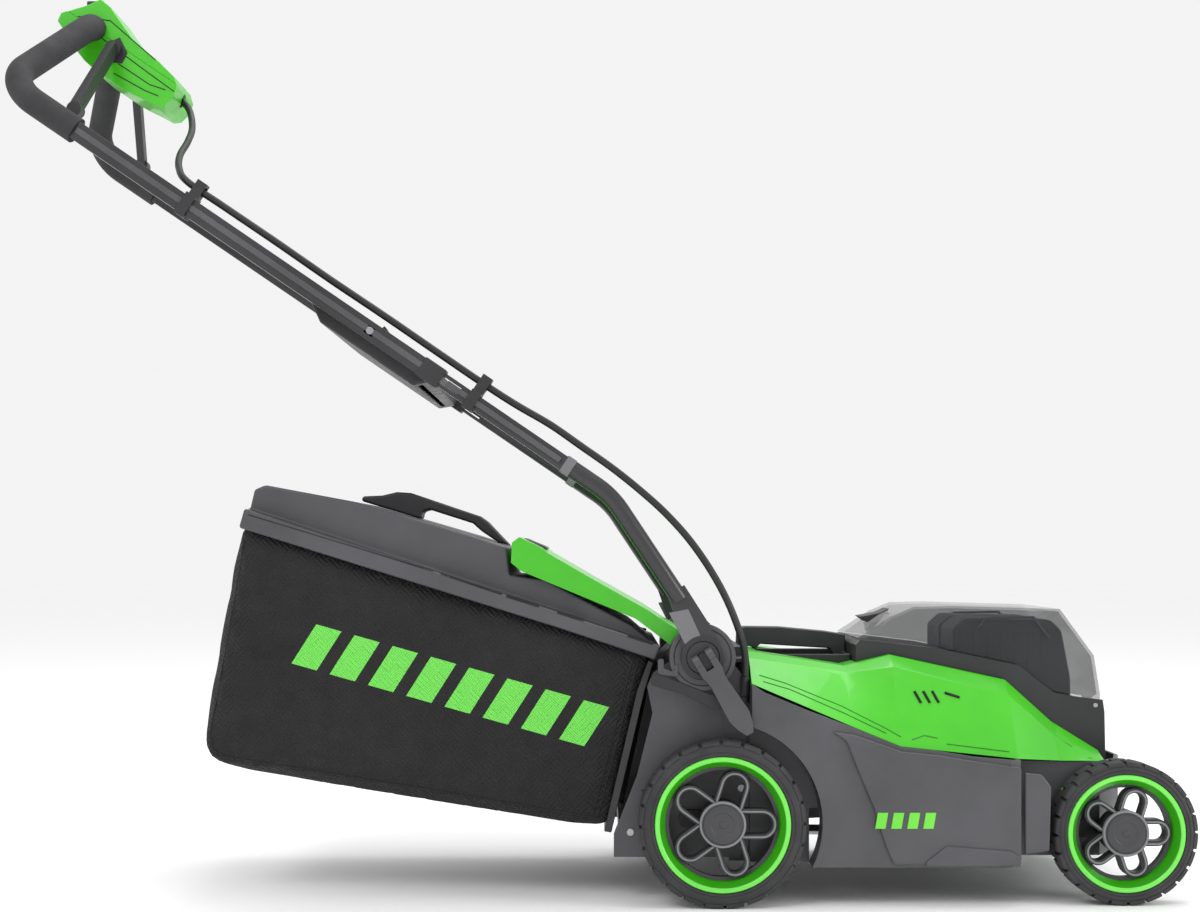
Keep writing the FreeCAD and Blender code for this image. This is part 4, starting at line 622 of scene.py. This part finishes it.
rounded("rear_flap", 3.0, cover_green, 4, 14.0)
pad_edge = [(-88.0, 391.2), (-62.0, 380.4), (-60.0, 381.6), (-62.5, 384.0), (-86.0, 393.8)]
soften(add_piece("flap_pad", slab(pad_edge, -46.0, 46.0), deck_plastic, "rear_flap"), 0.8, 3)


# ---- Grass bag ----------------------------------------------------------------------------
# A woven black fabric sack hangs from a moulded lid with a rim band and a grip; a hoop at its mouth
# hooks on to the deck. The lid has small air slots along its band.

WEAVE_PITCH = 0.0042
QUILT = 0.013
PRINT_TILT = math.radians(15.8)
PRINT_CENTRE = (-0.155, 0.0, 0.2315)
PRINT_HALF, PRINT_HIGH, PRINT_STEP = 0.172, 0.024, 0.043


def sum_node(tree, operation, *values):
    """One arithmetic node over sockets and plain numbers."""
    made = tree.nodes.new("ShaderNodeMath")
    made.operation = operation
    for number, value in enumerate(values):
        if isinstance(value, bpy.types.NodeSocket):
            tree.links.new(value, made.inputs[number])
        else:
            made.inputs[number].default_value = value
    return made.outputs[0]


def bag_cloth():
    """Black polyester with a quilted lattice woven in and a row of slanted printed bars."""
    made = surface("bag_cloth", "bag_cloth", paint(24, 24, 25), paint(33, 33, 34), gloss=(0.78, 0.92),
                   grain=(900.0, 0.3, 0.0003))
    tree = made.node_tree
    shader = tree.nodes["Principled BSDF"]
    coords = wire(tree, "ShaderNodeTexCoord").outputs["Object"]
    turned_cloth = wire(tree, "ShaderNodeMapping", Vector=coords, Rotation=(0.0, math.radians(45.0), 0.0))
    weave = {}
    for axis in ("X", "Z"):
        weave[axis] = wire(tree, "ShaderNodeTexWave", {"bands_direction": axis},
                           Vector=turned_cloth.outputs["Vector"],
                           Scale=math.pi / 10.0 / WEAVE_PITCH).outputs["Fac"]
    tiles = wire(tree, "ShaderNodeTexChecker", Vector=turned_cloth.outputs["Vector"], Scale=1.0 / QUILT)
    one = sum_node(tree, "MULTIPLY", weave["X"], tiles.outputs["Fac"])
    other = sum_node(tree, "MULTIPLY", weave["Z"], sum_node(tree, "SUBTRACT", 1.0, tiles.outputs["Fac"]))
    ridges = sum_node(tree, "ADD", one, other)
    old = shader.inputs["Normal"].links[0].from_node
    bump = wire(tree, "ShaderNodeBump", Height=ridges, Strength=1.0, Distance=0.0018,
                Normal=old.outputs["Normal"])
    tree.links.new(bump.outputs["Normal"], shader.inputs["Normal"])
    print_at = wire(tree, "ShaderNodeMapping", {"vector_type": "TEXTURE"}, Vector=coords,
                    Location=PRINT_CENTRE, Rotation=(0.0, PRINT_TILT, 0.0))
    split = wire(tree, "ShaderNodeSeparateXYZ", Vector=print_at.outputs["Vector"])
    lean = sum_node(tree, "MULTIPLY", split.outputs["Z"], 0.3)
    slant = sum_node(tree, "SUBTRACT", split.outputs["X"], lean)
    inside = sum_node(tree, "LESS_THAN", sum_node(tree, "ABSOLUTE", slant), PRINT_HALF)
    high = sum_node(tree, "LESS_THAN", sum_node(tree, "ABSOLUTE", split.outputs["Z"]), PRINT_HIGH)
    started = sum_node(tree, "ADD", slant, PRINT_HALF)
    beat = sum_node(tree, "FRACT", sum_node(tree, "DIVIDE", started, PRINT_STEP))
    bars = sum_node(tree, "LESS_THAN", beat, 0.66)
    mask = sum_node(tree, "MULTIPLY", sum_node(tree, "MULTIPLY", inside, high), bars)
    cloth_shade = shader.inputs["Base Color"].links[0].from_socket
    dim = wire(tree, "ShaderNodeMix", {"data_type": "RGBA"})
    tree.links.new(mask, dim.inputs[0])
    tree.links.new(cloth_shade, dim.inputs[6])
    dim.inputs[7].default_value = paint(118, 226, 88)
    tree.links.new(dim.outputs[2], shader.inputs["Base Color"])
    return made


cloth_black = bag_cloth()
SACK_EDGE = [(-387.5, 412.0), (-431.5, 171.0), (-426.5, 154.5), (-411.0, 147.0), (-43.0, 86.5), (8.5, 78.5),
             (45.5, 228.0), (56.0, 268.5), (-43.0, 302.0)]
sack = slab(SACK_EDGE, -146.5, 146.5)
sack_corners = [edge for edge in sack.edges if edge.calc_face_angle(0.0) > 0.4]
bmesh.ops.bevel(sack, geom=sack_corners, offset=0.012, offset_type="OFFSET", segments=3, profile=0.5,
                affect="EDGES", material=-1, clamp_overlap=True)
bag = add_piece("bag_sack", sack, cloth_black, "grass_bag", "bag_fabric", crease=80.0)
remesh = bag.modifiers.new("even_cloth", "REMESH")
remesh.mode = "VOXEL"
remesh.voxel_size = 0.0065
evened = bpy.data.meshes.new_from_object(bag.evaluated_get(bpy.context.evaluated_depsgraph_get()))
bag.modifiers.remove(remesh)
bag.data = evened
FILL_PRESSURE = 1.2
FURTHEST = 0.0055
BILLOW_FRAMES = 15
rest_points = [vert.co.copy() for vert in bag.data.vertices]
cloth = bag.modifiers.new("billow", "CLOTH")
cloth.settings.quality = 6
cloth.settings.mass = 0.3
cloth.settings.tension_stiffness = 30.0
cloth.settings.compression_stiffness = 30.0
cloth.settings.bending_stiffness = 2.0
cloth.settings.use_pressure = True
cloth.settings.uniform_pressure_force = FILL_PRESSURE
cloth.settings.effector_weights.gravity = 0.0
cloth.collision_settings.use_collision = False
for step in range(1, BILLOW_FRAMES + 1):
    bpy.context.scene.frame_set(step)
swollen = bpy.data.meshes.new_from_object(bag.evaluated_get(bpy.context.evaluated_depsgraph_get()))
billowed = [vert.co.copy() for vert in swollen.vertices]
bag.modifiers.remove(cloth)
bpy.data.meshes.remove(swollen)
bpy.context.scene.frame_set(1)
for vert, was, now in zip(bag.data.vertices, rest_points, billowed):
    shift = now - was
    if shift.length > FURTHEST:
        shift = shift.normalized() * FURTHEST
    # the panels hang from the rim band: soft sags between the corners and a few tension folds
    fold = noise.noise(Vector((was.x * 9.0 + was.z * 6.0, was.y * 4.0, was.z * 14.0))) * 0.0022
    fold += noise.noise(Vector((was.x * 34.0, was.y * 20.0, was.z * 22.0 + was.x * 14.0))) * 0.0007
    out = Vector((0.0, math.copysign(1.0, was.y) if abs(was.y) > 0.13 else 0.0, 0.0))
    vert.co = was + shift + out * fold
cutter = bmesh.new()
cutter.from_mesh(bag.data)
for spot, facing in ((Vector((-0.043, 0.0, 0.2985)), Vector((0.303, 0.0, 0.953))),
                     (Vector((0.0065, 0.0, 0.0785)), Vector((0.970, 0.0, -0.242)))):
    bmesh.ops.bisect_plane(cutter, geom=cutter.verts[:] + cutter.edges[:] + cutter.faces[:], plane_co=spot,
                           plane_no=facing, clear_outer=True)
cutter.to_mesh(bag.data)
cutter.free()
bag.data.materials.clear()
bag.data.materials.append(cloth_black)
bag.data.polygons.foreach_set("use_smooth", [True] * len(bag.data.polygons))
wall = bag.modifiers.new("cloth_wall", "SOLIDIFY")
wall.thickness = 0.0014
wall.offset = -1.0
# piping sewn round the side panels, and the hem that folds round the mouth hoop
sack_skin_shell = bmesh.new()
sack_skin_shell.from_mesh(bag.data)
sack_skin = BVHTree.FromBMesh(sack_skin_shell)
sack_skin_shell.free()
laid_lines("bag_piping", sack_skin, [
    [(-387.0, 391.0), (-424.0, 180.0), (-420.0, 163.0), (-407.0, 155.5), (-43.0, 95.5), (0.0, 88.5)],
    [(-2.0, 92.0), (34.0, 232.0), (42.0, 262.0)], [(-8.0, 93.0), (28.0, 234.0), (36.0, 264.0)]],
    1.8, seam_black, "grass_bag")
rounded("bag_frame", 1.0, dark_plastic, 2)
rounded("bag_lid", 4.0, deck_plastic, 4)
rounded("bag_handle", 4.0, dark_plastic, 4)


def thick_line(start, end, wide):
    """Outline of a straight bar between two XZ points."""
    run = Vector((end[0] - start[0], end[1] - start[1])).normalized() * wide / 2.0
    return [(start[0] - run.y, start[1] + run.x), (start[0] + run.y, start[1] - run.x),
            (end[0] + run.y, end[1] - run.x), (end[0] - run.y, end[1] + run.x)]


band_slots = join(*[both(thick_line(start, end, wide), 155.0, 156.4) for start, end, wide in (
    ((-172.0, 355.0), (-106.0, 332.5), 1.4), ((-101.0, 330.6), (-66.0, 319.8), 3.4),
    ((-46.0, 313.4), (-17.0, 304.6), 3.0), ((30.0, 287.6), (58.0, 279.6), 3.2),
    ((-380.0, 418.0), (-180.0, 357.6), 0.9))])
add_piece("band_slots", band_slots, seam_black, "grass_bag")


# ---- Studio -------------------------------------------------------------------------------
# A pale seamless floor, three soft panels of light and a level camera on the mower's right side.

ground = bmesh.new()
bmesh.ops.create_grid(ground, x_segments=2, y_segments=2, size=14.0)
floor_mesh = bpy.data.meshes.new("floor")
ground.to_mesh(floor_mesh)
ground.free()
floor = bpy.data.objects.new("floor", floor_mesh)
bpy.context.scene.collection.objects.link(floor)
pale = bpy.data.materials.new("pale_floor")
pale.use_nodes = True
pale.node_tree.nodes["Principled BSDF"].inputs["Base Color"].default_value = paint(255, 255, 255)
pale.node_tree.nodes["Principled BSDF"].inputs["Roughness"].default_value = 0.7
floor_mesh.materials.append(pale)

sky = bpy.data.worlds.new("sky")
bpy.context.scene.world = sky
sky.use_nodes = True
sky.node_tree.nodes["Background"].inputs["Color"].default_value = (1.0, 1.0, 1.0, 1.0)
sky.node_tree.nodes["Background"].inputs["Strength"].default_value = 0.9
for name, spot, aim, power, size in (
        ("key", (-1.5, -2.4, 3.1), (0.0, 0.0, 0.3), 34.0, 1.4),
        ("top", (0.6, 0.5, 3.4), (0.1, 0.0, 0.2), 42.0, 2.0),
        ("front", (3.2, -1.2, 1.2), (0.3, 0.0, 0.2), 30.0, 1.0)):
    lamp = bpy.data.lights.new(name, "AREA")
    lamp.energy = power
    lamp.size = size
    holder = bpy.data.objects.new(name, lamp)
    bpy.context.scene.collection.objects.link(holder)
    holder.location = spot
    holder.rotation_euler = (Vector(aim) - Vector(spot)).to_track_quat("-Z", "Y").to_euler()
bpy.context.scene.view_settings.view_transform = "Standard"

lens = bpy.data.cameras.new("camera")
lens.lens = 54.0
lens.sensor_width = 36.0
lens.shift_y = 0.0775
camera = bpy.data.objects.new("camera", lens)
bpy.context.scene.collection.objects.link(camera)
camera.location = (0.0, -2.1, 0.381)
camera.rotation_euler = (math.radians(90.0), 0.0, 0.0)
bpy.context.scene.camera = camera
